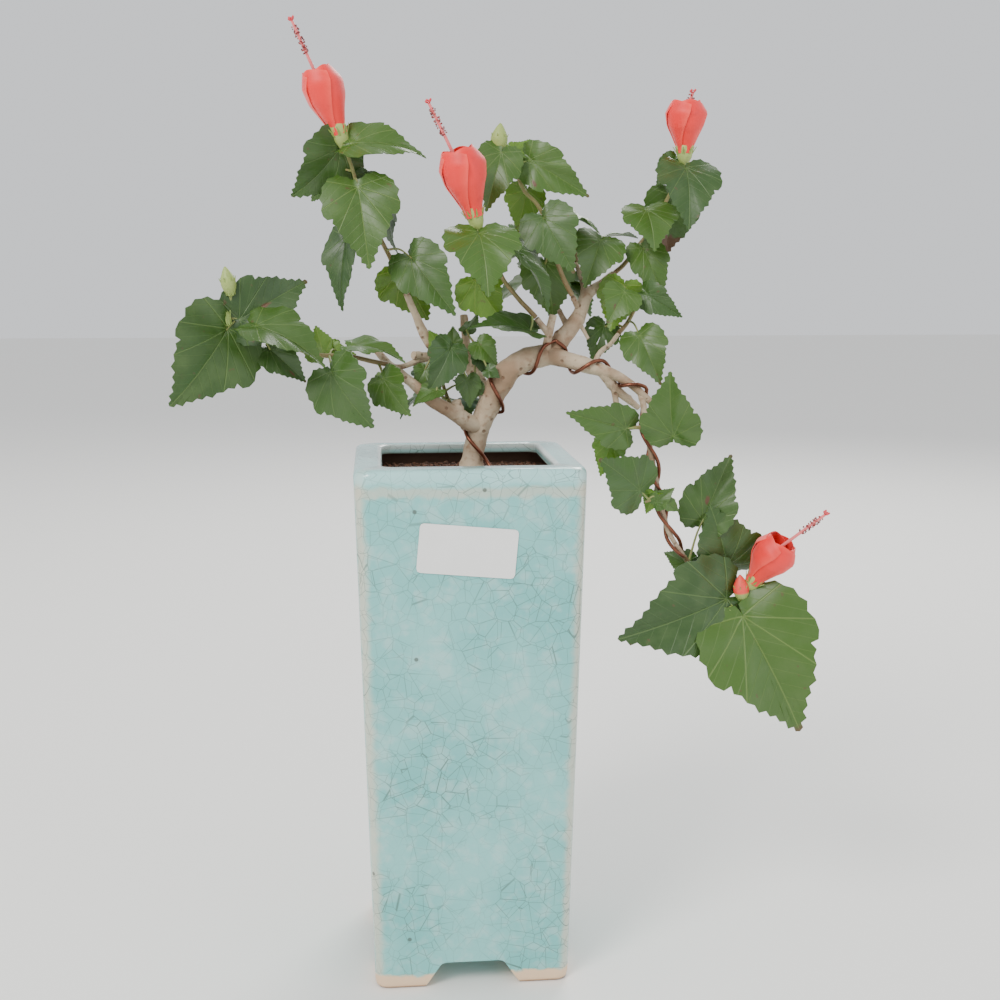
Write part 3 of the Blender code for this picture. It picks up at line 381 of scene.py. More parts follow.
# How brown a sick leaf's tip is and where that starts, and the leaf's place on its flat picture
TIP_BROWN, TIP_FROM = 0.55, 0.975
FLAT_DOWN, FLAT_SPAN = 0.2, 1.25
# A stem is this brown at its foot and this much greener at its end
STEM_AGE, STEM_GREENER = 0.15, 0.6
STEM_SIDES = 10
# Pot: height, half width and corner radius of each ring, in mm
POT_RINGS = (
    (0, 50.4, 6.5), (0.5, 51.2, 6.5), (1.2, 51.6, 6.5), (4, 52.0996, 6.5),
    (269, 58.7011, 6.5), (272.5, 58.8383, 7.1), (277.5, 59, 8.5), (279, 58.75, 9.3),
    (280, 58.1, 10), (280.65, 57.1, 10), (281, 55.6, 10),
)
CAVITY_RINGS = ((22, 43.5, 5), (276, 51.5, 5))
OPENING_RINGS = ((270, 44.3, 6), (279.2, 44.3, 6), (280.3, 44.8, 6.5), (282, 47.1, 8))
# Right half of the notch between two feet, and how far the cutter reaches, in mm
NOTCH_HALF = ((26.5, -1), (24, 2.5), (17.7, 12), (16.3, 13.4), (14.3, 14))
NOTCH_REACH = 69 * MM
DRAIN_RADIUS, DRAIN_LOW, DRAIN_LENGTH, DRAIN_SIDES = 8 * MM, 11 * MM, 14 * MM, 24
CORNER_STEPS = 10
# Soil bed: half width in mm, points along a side, the share of it that shows, and its lower end.
# Its height, mound, reach of the mound and roughness, in mm. Grains: density, radius and seed.
SOIL_HALF, SOIL_POINTS, SOIL_SEEN, SOIL_FOOT = 50.6, 28, 0.86, 200 * MM
SOIL_LEVEL, SOIL_MOUND, MOUND_REACH, SOIL_ROUGH = 269.4, 2.4, 60, 0.8
BALL_LOW, BALL_HIGH = (0.55, 0.55, 0.5), (1.15, 1.0, 0.9)
GRAINS = ((4.2e5, 1.25 * MM, 3), (6.0e4, 2.2 * MM, 8))
ANTHER_DENSITY, ANTHER_RADIUS, BRUSH_RADIUS = 4.0e5, 0.62 * MM, 1.55 * MM
# Lights: name, place, aim, width, power and colour
LIGHTS = (
    ("key", (-1.1, -1.3, 1.7), (0, 0, 0.25), 0.9, 38, (1.0, 0.97, 0.92)),
    ("fill", (1.6, -1.2, 0.8), (0, 0, 0.25), 1.4, 7, (0.92, 0.96, 1.0)),
    ("back", (0.6, 1.5, 1.5), (0, 0, 0.35), 1.0, 26, (1.0, 1.0, 0.96)),
)
FLOOR_REACH, FLOOR_ROUGH = 8.0, 0.7
FLOOR_COLOUR = (0.88, 0.87, 0.84, 1.0)
SKY_COLOUR, SKY_POWER = (0.95, 0.97, 1.0, 1.0), 0.95
CAMERA_PLACE = Vector((-47.3, -703.6, 374.5)) * MM
CAMERA_AIM = Vector((0.0933, 0.9817, -0.1659))
CAMERA_ANGLE = 2 * math.atan(500 / 1313)

TAKEN = []


def plain_object(name, solid):
    verts, faces = solid
    mesh = bpy.data.meshes.new(name)
    mesh.from_pydata([tuple(v) for v in verts], [], faces)
    obj = bpy.data.objects.new(name, mesh)
    bpy.context.scene.collection.objects.link(obj)
    return obj


def add_object(name, solid):
    """An object whose faces all look outward."""
    obj = plain_object(name, solid)
    work = bmesh.new()
    work.from_mesh(obj.data)
    bmesh.ops.recalc_face_normals(work, faces=work.faces)
    work.to_mesh(obj.data)
    work.free()
    return obj


def carve(obj, solids):
    """Cuts closed solids from the object and leaves the result as triangles."""
    group = bpy.data.collections.new("cutters")
    bpy.context.scene.collection.children.link(group)
    for solid in solids:
        cutter = add_object("cutter", solid)
        bpy.context.scene.collection.objects.unlink(cutter)
        group.objects.link(cutter)
    step = obj.modifiers.new("carve", "BOOLEAN")
    step.operand_type = "COLLECTION"
    step.collection = group
    step.operation = "DIFFERENCE"
    step.solver = "EXACT"
    bpy.context.view_layer.update()
    graph = bpy.context.evaluated_depsgraph_get()
    carved = bpy.data.meshes.new_from_object(obj.evaluated_get(graph))
    obj.modifiers.clear()
    obj.data = carved
    for cutter in list(group.objects):
        bpy.data.objects.remove(cutter)
    bpy.data.collections.remove(group)
    work = bmesh.new()
    work.from_mesh(carved)
    bmesh.ops.triangulate(work, faces=work.faces)
    work.to_mesh(carved)
    work.free()


def heading(bearing, lean):
    b, s = math.radians(bearing), math.radians(lean)
    return Vector((math.cos(b) * math.cos(s), -math.sin(s), math.sin(b) * math.cos(s)))


def smooth(points, steps):
    """A Catmull-Rom curve through (x, y, z, radius) points, as (Vector, radius) pairs."""
    rows = [Vector(p) for p in points]
    ends = [2 * rows[0] - rows[1]] + rows + [2 * rows[-1] - rows[-2]]
    out = []
    for i in range(1, len(ends) - 2):
        a, b, c, d = ends[i - 1 : i + 3]
        for k in range(steps):
            t = k / steps
            out.append(
                0.5 * (2 * b + (c - a) * t + (2 * a - 5 * b + 4 * c - d) * t * t)
                + 0.5 * (3 * b - 3 * c + d - a) * t * t * t
            )
    out.append(rows[-1])
    return [(Vector(row[:3]), row[3]) for row in out]


def frames(path):
    """Two axes across the path at each point, carried along without twisting."""
    places = [p for p, _ in path]
    tangents = []
    for i in range(len(places)):
        ahead = places[min(i + 1, len(places) - 1)] - places[max(i - 1, 0)]
        tangents.append(ahead.normalized())
    side = tangents[0].orthogonal().normalized()
    out = []
    for tangent in tangents:
        side = (side - tangent * side.dot(tangent)).normalized()
        out.append((side, tangent.cross(side)))
    return out


def square_ring(z, half, corner):
    points = []
    for quarter in range(4):
        middle = math.radians(45 + 90 * quarter)
        cx = math.copysign(half - corner, math.cos(middle))
        cy = math.copysign(half - corner, math.sin(middle))
        for k in range(CORNER_STEPS):
            angle = math.radians(90 * quarter + 90 * k / (CORNER_STEPS - 1))
            points.append(Vector((cx + corner * math.cos(angle), cy + corner * math.sin(angle), z)))
    return points


def stack(rings):
    """A closed solid through rings with the same number of points."""
    count = len(rings[0])
    verts = [point for ring in rings for point in ring]
    faces = []
    for n in range(len(rings) - 1):
        for k in range(count):
            a, b = n * count + k, n * count + (k + 1) % count
            faces.append((a, b, b + count, a + count))
    faces.append(tuple(reversed(range(count))))
    faces.append(tuple(range((len(rings) - 1) * count, len(rings) * count)))
    return verts, faces


def between(top, under, faces, loops):
    """A closed solid between two sheets of points, with a wall along each loop."""
    total = len(top)
    back = [tuple(v + total for v in reversed(face)) for face in faces]
    walls = [(a, b, b + total, a + total) for loop in loops for a, b in zip(loop, loop[1:] + loop[:1])]
    return top + under, faces + back + walls


def grid_faces(rows, cols):
    """Faces and outer loop of a grid of points, counted row by row."""
    faces = []
    for i in range(rows - 1):
        for a in range(i * cols, i * cols + cols - 1):
            faces.append((a, a + 1, a + cols + 1, a + cols))
    loop = list(range(cols)) + [i * cols + cols - 1 for i in range(1, rows)]
    loop += [(rows - 1) * cols + j for j in range(cols - 2, -1, -1)]
    loop += [i * cols for i in range(rows - 2, 0, -1)]
    return faces, loop


def ring_at(place, side, third, radius, sides):
    points = []
    for k in range(sides):
        angle = math.tau * k / sides
        points.append(place + (side * math.cos(angle) + third * math.sin(angle)) * radius)
    return points


def tube(path, sides):
    rows = zip(path, frames(path))
    return stack([ring_at(place, side, third, radius, sides) for (place, radius), (side, third) in rows])


def lathe(base, axis, rings, sides):
    """A solid through rings of (distance, radius) round an axis."""
    side = axis.orthogonal().normalized()
    third = axis.cross(side)
    return stack([ring_at(base + axis * distance, side, third, radius, sides) for distance, radius in rings])


def prism(outline, reach, across):
    """An (a, z) outline pushed along X or Y."""
    rings = []
    for level in (-reach, reach):
        rings.append([Vector((level, a, z)) if across == "X" else Vector((a, level, z)) for a, z in outline])
    return stack(rings)


def limb_knots(name):
    return [(x * MM, y * MM, z * MM, r * MM) for part in LIMBS[name] for x, y, z, r in part]


def limb_path(name):
    return smooth(limb_knots(name), 2 if name in SMOOTH_LIMBS else 1)


def stub_paths(name):
    for owner, start, end, first, last in STUBS:
        if owner == name:
            a, b = Vector(start) * MM, Vector(end) * MM
            yield [(a, first * MM), (a.lerp(b, 0.6), (first + last * 2) / 3 * MM), (b, last * MM)]


def clear_point(point, axes, room):
    """Pushes a point out of any limb that it comes nearer than the room."""
    for _ in range(6):
        for path in axes:
            for (a, ra), (b, rb) in zip(path, path[1:]):
                along = b - a
                share = max(0.0, min(1.0, (point - a).dot(along) / along.length_squared))
                foot = a + along * share
                need = ra + (rb - ra) * share + room
                away = point - foot
                if away.length < need:
                    point = foot + away.normalized() * need
    return point


def wind(axis, fronts, span):
    """Points of a wire wound on an axis, which crosses the front at the given distances."""
    lengths = [0.0]
    for (a, _), (b, _) in zip(axis, axis[1:]):
        lengths.append(lengths[-1] + (b - a).length)
    points = []
    low, high, count = span
    for i in range(count + 1):
        s = (low + (high - low) * i / count) * MM
        n = max(k for k in range(len(lengths) - 1) if lengths[k] <= s)
        share = min(1.0, (s - lengths[n]) / (lengths[n + 1] - lengths[n]))
        place = axis[n][0].lerp(axis[n + 1][0], share)
        radius = axis[n][1] + (axis[n + 1][1] - axis[n][1]) * share
        tangent = (axis[min(n + 2, len(axis) - 1)][0] - axis[max(n - 1, 0)][0]).normalized()
        marks = [f * MM for f in fronts]
        k = min(sum(mark <= s for mark in marks), len(marks) - 1)
        k = max(k, 1)
        turn = k - 1 + (s - marks[k - 1]) / (marks[k] - marks[k - 1])
        side = Vector((-tangent.z, 0, tangent.x)).normalized()
        front = side.cross(tangent).normalized()
        if front.y > 0:
            front = -front
        angle = math.tau * turn
        reach = radius + WIRE_RADIUS + 1.2 * GAP
        points.append(place + (front * math.cos(angle) + side * math.sin(angle)) * reach)
    return points


def ladder(edge, rib):
    """Triangles between one side of a leaf and its midrib, each a list of (along, index)."""
    faces, n = [], 0
    for (_, a), (y, b) in zip(edge, edge[1:]):
        faces.append((a, b, rib[n][1]))
        while n + 1 < len(rib) and y > rib[n + 1][0] - 0.25 and b != edge[-1][1]:
            faces.append((b, rib[n + 1][1], rib[n][1]))
            n += 1
    return faces


def point_on(path, share):
    lengths = [0.0]
    for (a, _), (b, _) in zip(path, path[1:]):
        lengths.append(lengths[-1] + (b - a).length)
    s = share * lengths[-1]
    n = max(k for k in range(len(lengths) - 1) if lengths[k] <= s + 1e-9)
    return path[n][0].lerp(path[n + 1][0], min(1.0, (s - lengths[n]) / (lengths[n + 1] - lengths[n])))


def fill_rows(count, size, first):
    """Leaves by the golden angle round a stem, blades hanging outwards."""
    for k in range(count):
        share = 0.22 + 0.78 * k / max(1, count - 1)
        turn = first + GOLDEN * k
        out = Vector((math.cos(turn), math.sin(turn) + 0.25, 0.0)).normalized()
        length = size * (1.0 - 0.25 * abs(share - 0.6))
        stalk_way, along = (out + UP * 0.55).normalized(), (out - UP * 0.75).normalized()
        yield share, stalk_way, 10.0, along, out + UP, length, 0.0, 1.0


def leaf_sides(along, face, roll):
    """Sideways direction and normal of a leaf."""
    normal = (face - along * face.dot(along)).normalized()
    normal = Matrix.Rotation(math.radians(roll), 3, along) @ normal
    return along.cross(normal), normal


def leaf_rise(x, y, fold, bow):
    """How far a leaf stands off its plane: folded up along the midrib and bowed along it."""
    return fold * abs(x) - 0.3 * x * x + bow * 4 * y * (1 - y)


def blade(hub, along, face, roll, length, wide, rng):
    """The plain leaf with room round it, for finding a clear place."""
    side, normal = leaf_sides(along, face, roll)
    bow = rng.uniform(*LEAF_BOW)
    fold = rng.uniform(*LEAF_FOLD)
    thick = max(LEAF_THICK, length * LEAF_THIN_RATIO) + LEAF_ROOM

    def spot(x, y):
        return hub + (side * (x * wide) + along * y + normal * leaf_rise(x, y, fold, bow)) * length

    fine = length > SMALL_LEAF
    half = [(x, y) for x, y, detail in LEAF_HALF if fine or not detail]
    rib = [(0.0, y) for y in (MIDRIB if fine else MIDRIB[:2])]
    outline = half + [(-x, y) for x, y in reversed(half[1:-1])]
    flat = [spot(x, y) for x, y in outline + rib]
    count, last = len(outline), len(half) - 1
    faces = []
    for flip in (False, True):
        edge = [(half[k][1], k if not flip or k in (0, last) else count - k) for k in range(last + 1)]
        strip = ladder(edge, [(y, count + k) for k, (_, y) in enumerate(rib)])
        faces += [tuple(reversed(f)) for f in strip] if flip else strip
    step = normal * thick / 2
    return between([p + step for p in flat], [p - step for p in flat], faces, [list(range(count))])


def stalk(start, hub, along):
    """The plain stalk with room round it."""
    tip = hub + along * STALK_PAST
    radius = STALK_RADIUS + GAP
    path = [(start, radius), (tip, radius * 0.9)]
    if (hub - start).length > LONG_STALK:
        path.insert(1, (start.lerp(hub, 0.55) + UP * 0.12 * (hub - start).length, radius))
    return tube(path, STALK_SIDES)


def is_clear(solid):
    tree = BVHTree.FromPolygons(solid[0], solid[1])
    return not any(tree.overlap(other) for other in TAKEN)


class Look:
    """A material whose colour is laid on in coats, worked out from the place on the piece."""

    def __init__(self, name, rough):
        self.material = bpy.data.materials.new(name)
        self.material.use_nodes = True
        self.tree = self.material.node_tree
        self.shader = self.tree.nodes["Principled BSDF"]
        self.shader.inputs["Roughness"].default_value = rough
        self.place = self.tree.nodes.new("ShaderNodeTexCoord").outputs["Object"]
        self.colour = None

    def feed(self, socket, value):
        if isinstance(value, bpy.types.NodeSocket):
            self.tree.links.new(value, socket)
        else:
            socket.default_value = value

    def calc(self, operation, *values):
        node = self.tree.nodes.new("ShaderNodeMath")
        node.operation = operation
        for socket, value in zip(node.inputs, values):
            self.feed(socket, value)
        return node.outputs[0]

    def add(self, first, second):
        return self.calc("ADD", first, second)

    def less(self, first, second):
        return self.calc("SUBTRACT", first, second)

    def times(self, first, second):
        return self.calc("MULTIPLY", first, second)

    def above(self, value, low, high):
        """0 at low, 1 at high, smooth between."""
        node = self.tree.nodes.new("ShaderNodeMapRange")
        node.interpolation_type = "SMOOTHSTEP"
        self.feed(node.inputs["Value"], value)
        node.inputs["From Min"].default_value = low
        node.inputs["From Max"].default_value = high
        return node.outputs["Result"]

    def below(self, value, low, high):
        return self.less(1.0, self.above(value, low, high))

    def blend(self, share, first, second):
        node = self.tree.nodes.new("ShaderNodeMix")
        node.data_type = "RGBA"
        self.feed(node.inputs[0], share)
        for socket, colour in ((node.inputs[6], first), (node.inputs[7], second)):
            self.feed(socket, (*colour, 1.0) if isinstance(colour, tuple) else colour)
        return node.outputs[2]

    def coat(self, share, colour, strength=1.0):
        """Lays a colour over what is there."""
        if strength < 1.0:
            share = self.times(share, strength)
        self.colour = self.blend(share, self.colour, colour)

    def split(self, vector):
        node = self.tree.nodes.new("ShaderNodeSeparateXYZ")
        self.tree.links.new(vector, node.inputs[0])
        return node.outputs

    def marks(self):
        node = self.tree.nodes.new("ShaderNodeAttribute")
        node.attribute_name = "mark"
        return self.split(node.outputs["Vector"])

    def clouds(self, scale, detail=3.0):
        node = self.tree.nodes.new("ShaderNodeTexNoise")
        self.tree.links.new(self.place, node.inputs["Vector"])
        node.inputs["Scale"].default_value = scale
        node.inputs["Detail"].default_value = detail
        return node.outputs["Fac"]

    def cells(self, scale, feature):
        node = self.tree.nodes.new("ShaderNodeTexVoronoi")
        node.feature = feature
        self.tree.links.new(self.place, node.inputs["Vector"])
        node.inputs["Scale"].default_value = scale
        return node.outputs["Distance"]

    def relief(self, height, strength, distance):
        node = self.tree.nodes.new("ShaderNodeBump")
        node.inputs["Strength"].default_value = strength
        node.inputs["Distance"].default_value = distance
        self.tree.links.new(height, node.inputs["Height"])
        self.tree.links.new(node.outputs[0], self.shader.inputs["Normal"])

    def done(self):
        self.tree.links.new(self.colour, self.shader.inputs["Base Color"])
        return self.material


def leaf_look():
    look = Look("leaf blade", 0.42)
    look.shader.inputs["Specular IOR Level"].default_value = 0.55
    flat = look.tree.nodes.new("ShaderNodeUVMap")
    flat.uv_map = "flat"
    across, along, _ = look.split(flat.outputs[0])
    across = look.calc("ABSOLUTE", look.less(across, 0.5))
    along = look.less(look.times(along, FLAT_SPAN), FLAT_DOWN)
    reach = look.calc("SQRT", look.add(look.times(across, across), look.times(along, along)))
    angle = look.calc("ARCTAN2", across, along)
    nearest = None
    for vein in (0.0, 0.52, 1.08, 1.8):
        gap = look.times(look.calc("ABSOLUTE", look.less(angle, vein)), reach)
        nearest = gap if nearest is None else look.calc("MINIMUM", nearest, gap)
    side = look.calc("FRACT", look.times(look.less(along, look.times(across, 0.8)), 8.0))
    side = look.calc("ABSOLUTE", look.less(side, 0.5))
    side = look.times(look.below(side, 0.01, 0.05), 0.35)
    veins = look.calc("MAXIMUM", look.below(nearest, 0.002, 0.009), side)
    tone, lit, brown = look.marks()
    look.colour = look.blend(tone, (0.014, 0.048, 0.006), (0.034, 0.092, 0.010))
    look.coat(look.above(look.clouds(90.0), 0.42, 0.66), (0.036, 0.080, 0.017))
    look.coat(lit, (0.12, 0.25, 0.010))
    look.coat(veins, look.blend(lit, (0.085, 0.155, 0.040), (0.32, 0.44, 0.07)), 0.62)
    fleck = look.times(look.above(look.clouds(260.0, 1.0), 0.72, 0.78), 0.5)
    look.coat(look.calc("MAXIMUM", fleck, look.above(brown, 0.35, 0.6)), (0.10, 0.045, 0.018))
    look.relief(look.less(look.times(look.clouds(420.0), 0.35), veins), 0.45, 0.0005)
    return look.done()


def twig_look():
    look = Look("twig skin", 0.55)
    grain = look.clouds(500.0)
    look.colour = look.blend(look.marks()[0], (0.20, 0.105, 0.050), (0.235, 0.300, 0.085))
    look.coat(look.above(grain, 0.5, 0.75), (0.30, 0.19, 0.10))
    look.relief(grain, 0.3, 0.0003)
    return look.done()


def bark_look():
    look = Look("pale bark", 0.78)
    fine = look.clouds(260.0, 5.0)
    patches = look.above(look.clouds(38.0, 4.0), 0.42, 0.62)
    look.colour = look.blend(patches, (0.50, 0.40, 0.28), (0.29, 0.19, 0.115))
    look.coat(look.above(fine, 0.50, 0.72), (0.30, 0.19, 0.115))
    pores = look.below(look.cells(190.0, "F1"), 0.10, 0.24)
    look.coat(pores, (0.16, 0.085, 0.045), 0.75)
    look.relief(look.less(fine, pores), 0.7, 0.0009)
    return look.done()


def wire_look():
    look = Look("copper brown wire", 0.34)
    look.shader.inputs["Metallic"].default_value = 0.85
    look.colour = look.blend(look.clouds(120.0), (0.11, 0.035, 0.022), (0.27, 0.105, 0.06))
    return look.done()


def petal_look():
    look = Look("red petal", 0.5)
    look.shader.inputs["Sheen Weight"].default_value = 0.25
    tone, edge, _ = look.marks()
    grain = look.clouds(160.0)
    look.colour = look.blend(tone, (0.90, 0.032, 0.020), (0.88, 0.008, 0.008))
    look.coat(edge, (1.0, 0.07, 0.05))
    look.coat(look.above(grain, 0.5, 0.75), (0.62, 0.010, 0.012), 0.5)
    look.relief(grain, 0.25, 0.0005)
    return look.done()


def calyx_look():
    look = Look("calyx and buds", 0.5)
    tone, red, _ = look.marks()
    look.colour = look.blend(tone, (0.20, 0.31, 0.07), (0.44, 0.52, 0.16))
    look.coat(red, (0.86, 0.07, 0.05))
    look.coat(look.above(look.clouds(300.0), 0.55, 0.75), (0.16, 0.22, 0.05), 0.5)
    return look.done()


def column_look():
    look = Look("pink column", 0.45)
    look.colour = look.blend(look.marks()[0], (0.90, 0.22, 0.22), (0.75, 0.06, 0.08))
    return look.done()


def anther_look():
    look = Look("anther", 0.6)
    grain = look.above(look.clouds(900.0), 0.4, 0.6)
    look.colour = look.blend(grain, (0.12, 0.006, 0.014), (0.42, 0.08, 0.07))
    return look.done()


def soil_look():
    look = Look("damp soil grains", 0.9)
    grain = look.clouds(380.0, 2.0)
    look.colour = look.blend(look.above(grain, 0.35, 0.65), (0.045, 0.020, 0.012), (0.235, 0.105, 0.058))
    look.coat(look.above(look.clouds(170.0), 0.60, 0.72), (0.30, 0.20, 0.13))
    look.relief(grain, 0.5, 0.0008)
    return look.done()


def paper_look():
    look = Look("blank paper label", 0.55)
    look.colour = look.blend(look.clouds(60.0), (0.80, 0.80, 0.78), (0.90, 0.90, 0.89))
    return look.done()


def glaze_look():
    """Pale turquoise crackle glaze with painted highlights, beige along the edges and white on the lip,
    painted shade on the inner wall, and bare clay at the feet.
    """
    look = Look("crackle glaze", 0.2)
    look.shader.inputs["Coat Weight"].default_value = 0.25
    look.shader.inputs["Coat Roughness"].default_value = 0.08
    x, y, z = look.split(look.place)
    x = look.calc("ABSOLUTE", look.less(x, MOVE.x))
    y = look.calc("ABSOLUTE", look.less(y, MOVE.y))
    near = look.calc("MINIMUM", x, y)
    far = look.calc("MAXIMUM", x, y)
    broad = look.clouds(16.0, 4.0)
    fine = look.clouds(120.0, 3.0)
    wobble = look.times(look.less(fine, 0.5), 0.006)
    level = look.add(z, wobble)
    look.colour = look.blend(look.above(broad, 0.35, 0.65), (0.24, 0.59, 0.565), (0.155, 0.49, 0.475))
    look.coat(look.above(fine, 0.45, 0.7), (0.50, 0.68, 0.65), 0.35)
    # Painted highlight in beige along the corners, thin glaze in a band under the rim, thick on the rim, and
    # a painted white highlight on the lip
    look.coat(look.above(look.add(look.less(near, far), wobble), -0.0075, -0.001), (0.66, 0.60, 0.47), 0.7)
    band = look.times(look.above(level, 0.2655, 0.2685), look.below(level, 0.2705, 0.2735))
    look.coat(band, (0.62, 0.56, 0.43), 0.55)
    look.coat(look.above(level, 0.271, 0.276), (0.47, 0.76, 0.75), 0.7)
    # Painted white highlight along the inner edge of the rim top
    lip_highlight = look.times(look.above(z, 0.2775, 0.2795), look.below(far, 0.045, 0.0475))
    look.coat(lip_highlight, (0.80, 0.86, 0.83), 0.8)
    # Crackle of two sizes, and dark specks
    edges = [look.cells(scale, "DISTANCE_TO_EDGE") for scale in (135.0, 84.0)]
    crack = look.below(look.calc("MINIMUM", *edges), 0.004, 0.017)
    crack = look.times(crack, look.above(broad, 0.30, 0.62))
    look.coat(crack, (0.08, 0.15, 0.12), 0.75)
    look.coat(look.below(look.cells(42.0, "F1"), 0.035, 0.06), (0.07, 0.08, 0.06), 0.8)
    # Bare clay at the feet, darker at their lower edge, and painted shade in dark brown on the inner wall
    bare = look.below(level, 0.0065, 0.0085)
    look.coat(bare, (0.80, 0.57, 0.37))
    look.coat(look.below(z, 0.0005, 0.002), (0.36, 0.22, 0.13))
    # Painted shade: the cavity wall below the lip is coloured dark brown
    wall = look.less(far, look.times(z, 0.0249))
    inner_wall_shade = look.times(look.below(wall, 0.0478, 0.0482), look.above(z, 0.02, 0.021))
    inner_wall_shade = look.times(inner_wall_shade, look.below(z, 0.2755, 0.2775))
    look.coat(inner_wall_shade, (0.115, 0.060, 0.034))
    rough = look.add(0.17, look.times(look.calc("MAXIMUM", bare, inner_wall_shade), 0.6))
    look.tree.links.new(rough, look.shader.inputs["Roughness"])
    look.relief(look.less(look.times(broad, 1.5), look.times(crack, 0.2)), 0.25, 0.002)
    return look.done()


def new_batch():
    return {"verts": [], "faces": [], "marks": [], "flat": []}


def put(group, solid, mark=(0.5, 0.0, 0.0), marks=None, flat=None):
    """Adds one solid to a group, with a mark (three numbers) and a flat place for each corner."""
    verts, faces = solid
    first = len(group["verts"])
    group["verts"].extend(verts)
    group["faces"].extend(tuple(v + first for v in face) for face in faces)
    group["marks"].extend(marks or [mark] * len(verts))
    group["flat"].extend(flat or [(0.5, 0.5)] * len(verts))


def soften(mesh, sharp):
    """Smooth shading, except at edges sharper than the angle in degrees."""
    mesh.polygons.foreach_set("use_smooth", [True] * len(mesh.polygons))
    mesh.set_sharp_from_angle(angle=math.radians(sharp))


def finish_piece(obj, look, nodes):
    obj.data.materials.clear()
    obj.data.materials.append(look)
    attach(obj, "root")
    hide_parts(*nodes)


def piece(name, group, look, nodes, sharp=60):
    obj = add_object(name, ([v + MOVE for v in group["verts"]], group["faces"]))
    mesh = obj.data
    marks = mesh.attributes.new("mark", "FLOAT_VECTOR", "POINT")
    marks.data.foreach_set("vector", [n for mark in group["marks"] for n in mark])
    layer = mesh.uv_layers.new(name="flat")
    spots = [group["flat"][loop.vertex_index] for loop in mesh.loops]
    layer.data.foreach_set("uv", [n for spot in spots for n in spot])
    soften(mesh, sharp)
    finish_piece(obj, look, nodes)


def random_vector(tree, low, high):
    node = tree.nodes.new("FunctionNodeRandomValue")
    node.data_type = "FLOAT_VECTOR"
    node.inputs[0].default_value = low
    node.inputs[1].default_value = high
    return node.outputs[0]


def scatter_tree(name):
    """Balls spread over a surface, as one real mesh."""
    tree = bpy.data.node_groups.new(name, "GeometryNodeTree")
    sockets = (
        ("Surface", "Geometry"), ("Density", "Float"), ("Radius", "Float"), ("Seed", "Int"),
        ("Material", "Material"),
    )
    for label, kind in sockets:
        tree.interface.new_socket(label, in_out="INPUT", socket_type="NodeSocket" + kind)
    tree.interface.new_socket("Grains", in_out="OUTPUT", socket_type="NodeSocketGeometry")
    kinds = (
        "NodeGroupInput", "NodeGroupOutput", "GeometryNodeDistributePointsOnFaces",
        "GeometryNodeMeshIcoSphere", "GeometryNodeInstanceOnPoints", "GeometryNodeRealizeInstances",
        "GeometryNodeSetMaterial",
    )
    source, target, spread, ball, copies, real, paint = [tree.nodes.new(kind) for kind in kinds]
    ball.inputs["Subdivisions"].default_value = 1
    ball.inputs["Radius"].default_value = 1.0
    turn = random_vector(tree, (0.0, 0.0, 0.0), (6.28, 6.28, 6.28))
    size = random_vector(tree, BALL_LOW, BALL_HIGH)
    grow = tree.nodes.new("ShaderNodeVectorMath")
    grow.operation = "SCALE"
    links = (
        (source.outputs["Surface"], spread.inputs["Mesh"]),
        (source.outputs["Density"], spread.inputs["Density"]),
        (source.outputs["Seed"], spread.inputs["Seed"]),
        (spread.outputs["Points"], copies.inputs["Points"]),
        (ball.outputs["Mesh"], copies.inputs["Instance"]),
        (turn, copies.inputs["Rotation"]),
        (size, grow.inputs[0]),
        (source.outputs["Radius"], grow.inputs["Scale"]),
        (grow.outputs[0], copies.inputs["Scale"]),
        (copies.outputs[0], real.inputs[0]),
        (real.outputs[0], paint.inputs["Geometry"]),
        (source.outputs["Material"], paint.inputs["Material"]),
        (paint.outputs[0], target.inputs["Grains"]),
    )
    for start, end in links:
        tree.links.new(start, end)
    return tree


def scattered(solid, tree, look, density, radius, seed):
    """The mesh of balls grown on a surface by the tree, with nothing live left."""
    carrier = plain_object("bed", solid)
    step = carrier.modifiers.new("grow", "NODES")
    step.node_group = tree
    wanted = {"Density": density, "Radius": radius, "Seed": seed, "Material": look}
    for item in tree.interface.items_tree:
        if item.in_out == "INPUT" and item.name in wanted:
            step[item.identifier] = wanted[item.name]
    bpy.context.view_layer.update()
    graph = bpy.context.evaluated_depsgraph_get()
    grown = bpy.data.meshes.new_from_object(carrier.evaluated_get(graph))
    verts = [v.co.copy() for v in grown.vertices]
    faces = [tuple(p.vertices) for p in grown.polygons]
    bpy.data.objects.remove(carrier)
    bpy.data.meshes.remove(grown)
    return verts, faces


def sheet(grid):
    """A thin closed solid over a grid of points."""
    rows, cols = len(grid), len(grid[0])
    top, under = [], []
    for i in range(rows):
        for j in range(cols):
            du = grid[min(i + 1, rows - 1)][j] - grid[max(i - 1, 0)][j]
            dv = grid[i][min(j + 1, cols - 1)] - grid[i][max(j - 1, 0)]
            normal = du.cross(dv)
            normal = normal.normalized() if normal.length > 1e-12 else UP
            top.append(grid[i][j] + normal * SHEET_THICK / 2)
            under.append(grid[i][j] - normal * SHEET_THICK / 2)
    faces, loop = grid_faces(rows, cols)
    return between(top, under, faces, [loop])


def fine_edge():
    """The whole edge of a leaf, with a tooth between each two points."""
    half = []
    for (x0, y0), (x1, y1) in zip(FINE_HALF, FINE_HALF[1:]):
        middle = Vector(((x0 + x1) / 2, (y0 + y1) / 2))
        out = Vector((y1 - y0, x0 - x1)).normalized()
        half.append((x0, y0))
        half.append(tuple(middle + out * TOOTH * (0.7 + 0.6 * math.sin(5.3 * len(half)) ** 2)))
    half.append(FINE_HALF[-1])
    return half + [(-x, y) for x, y in reversed(half[1:-1])]


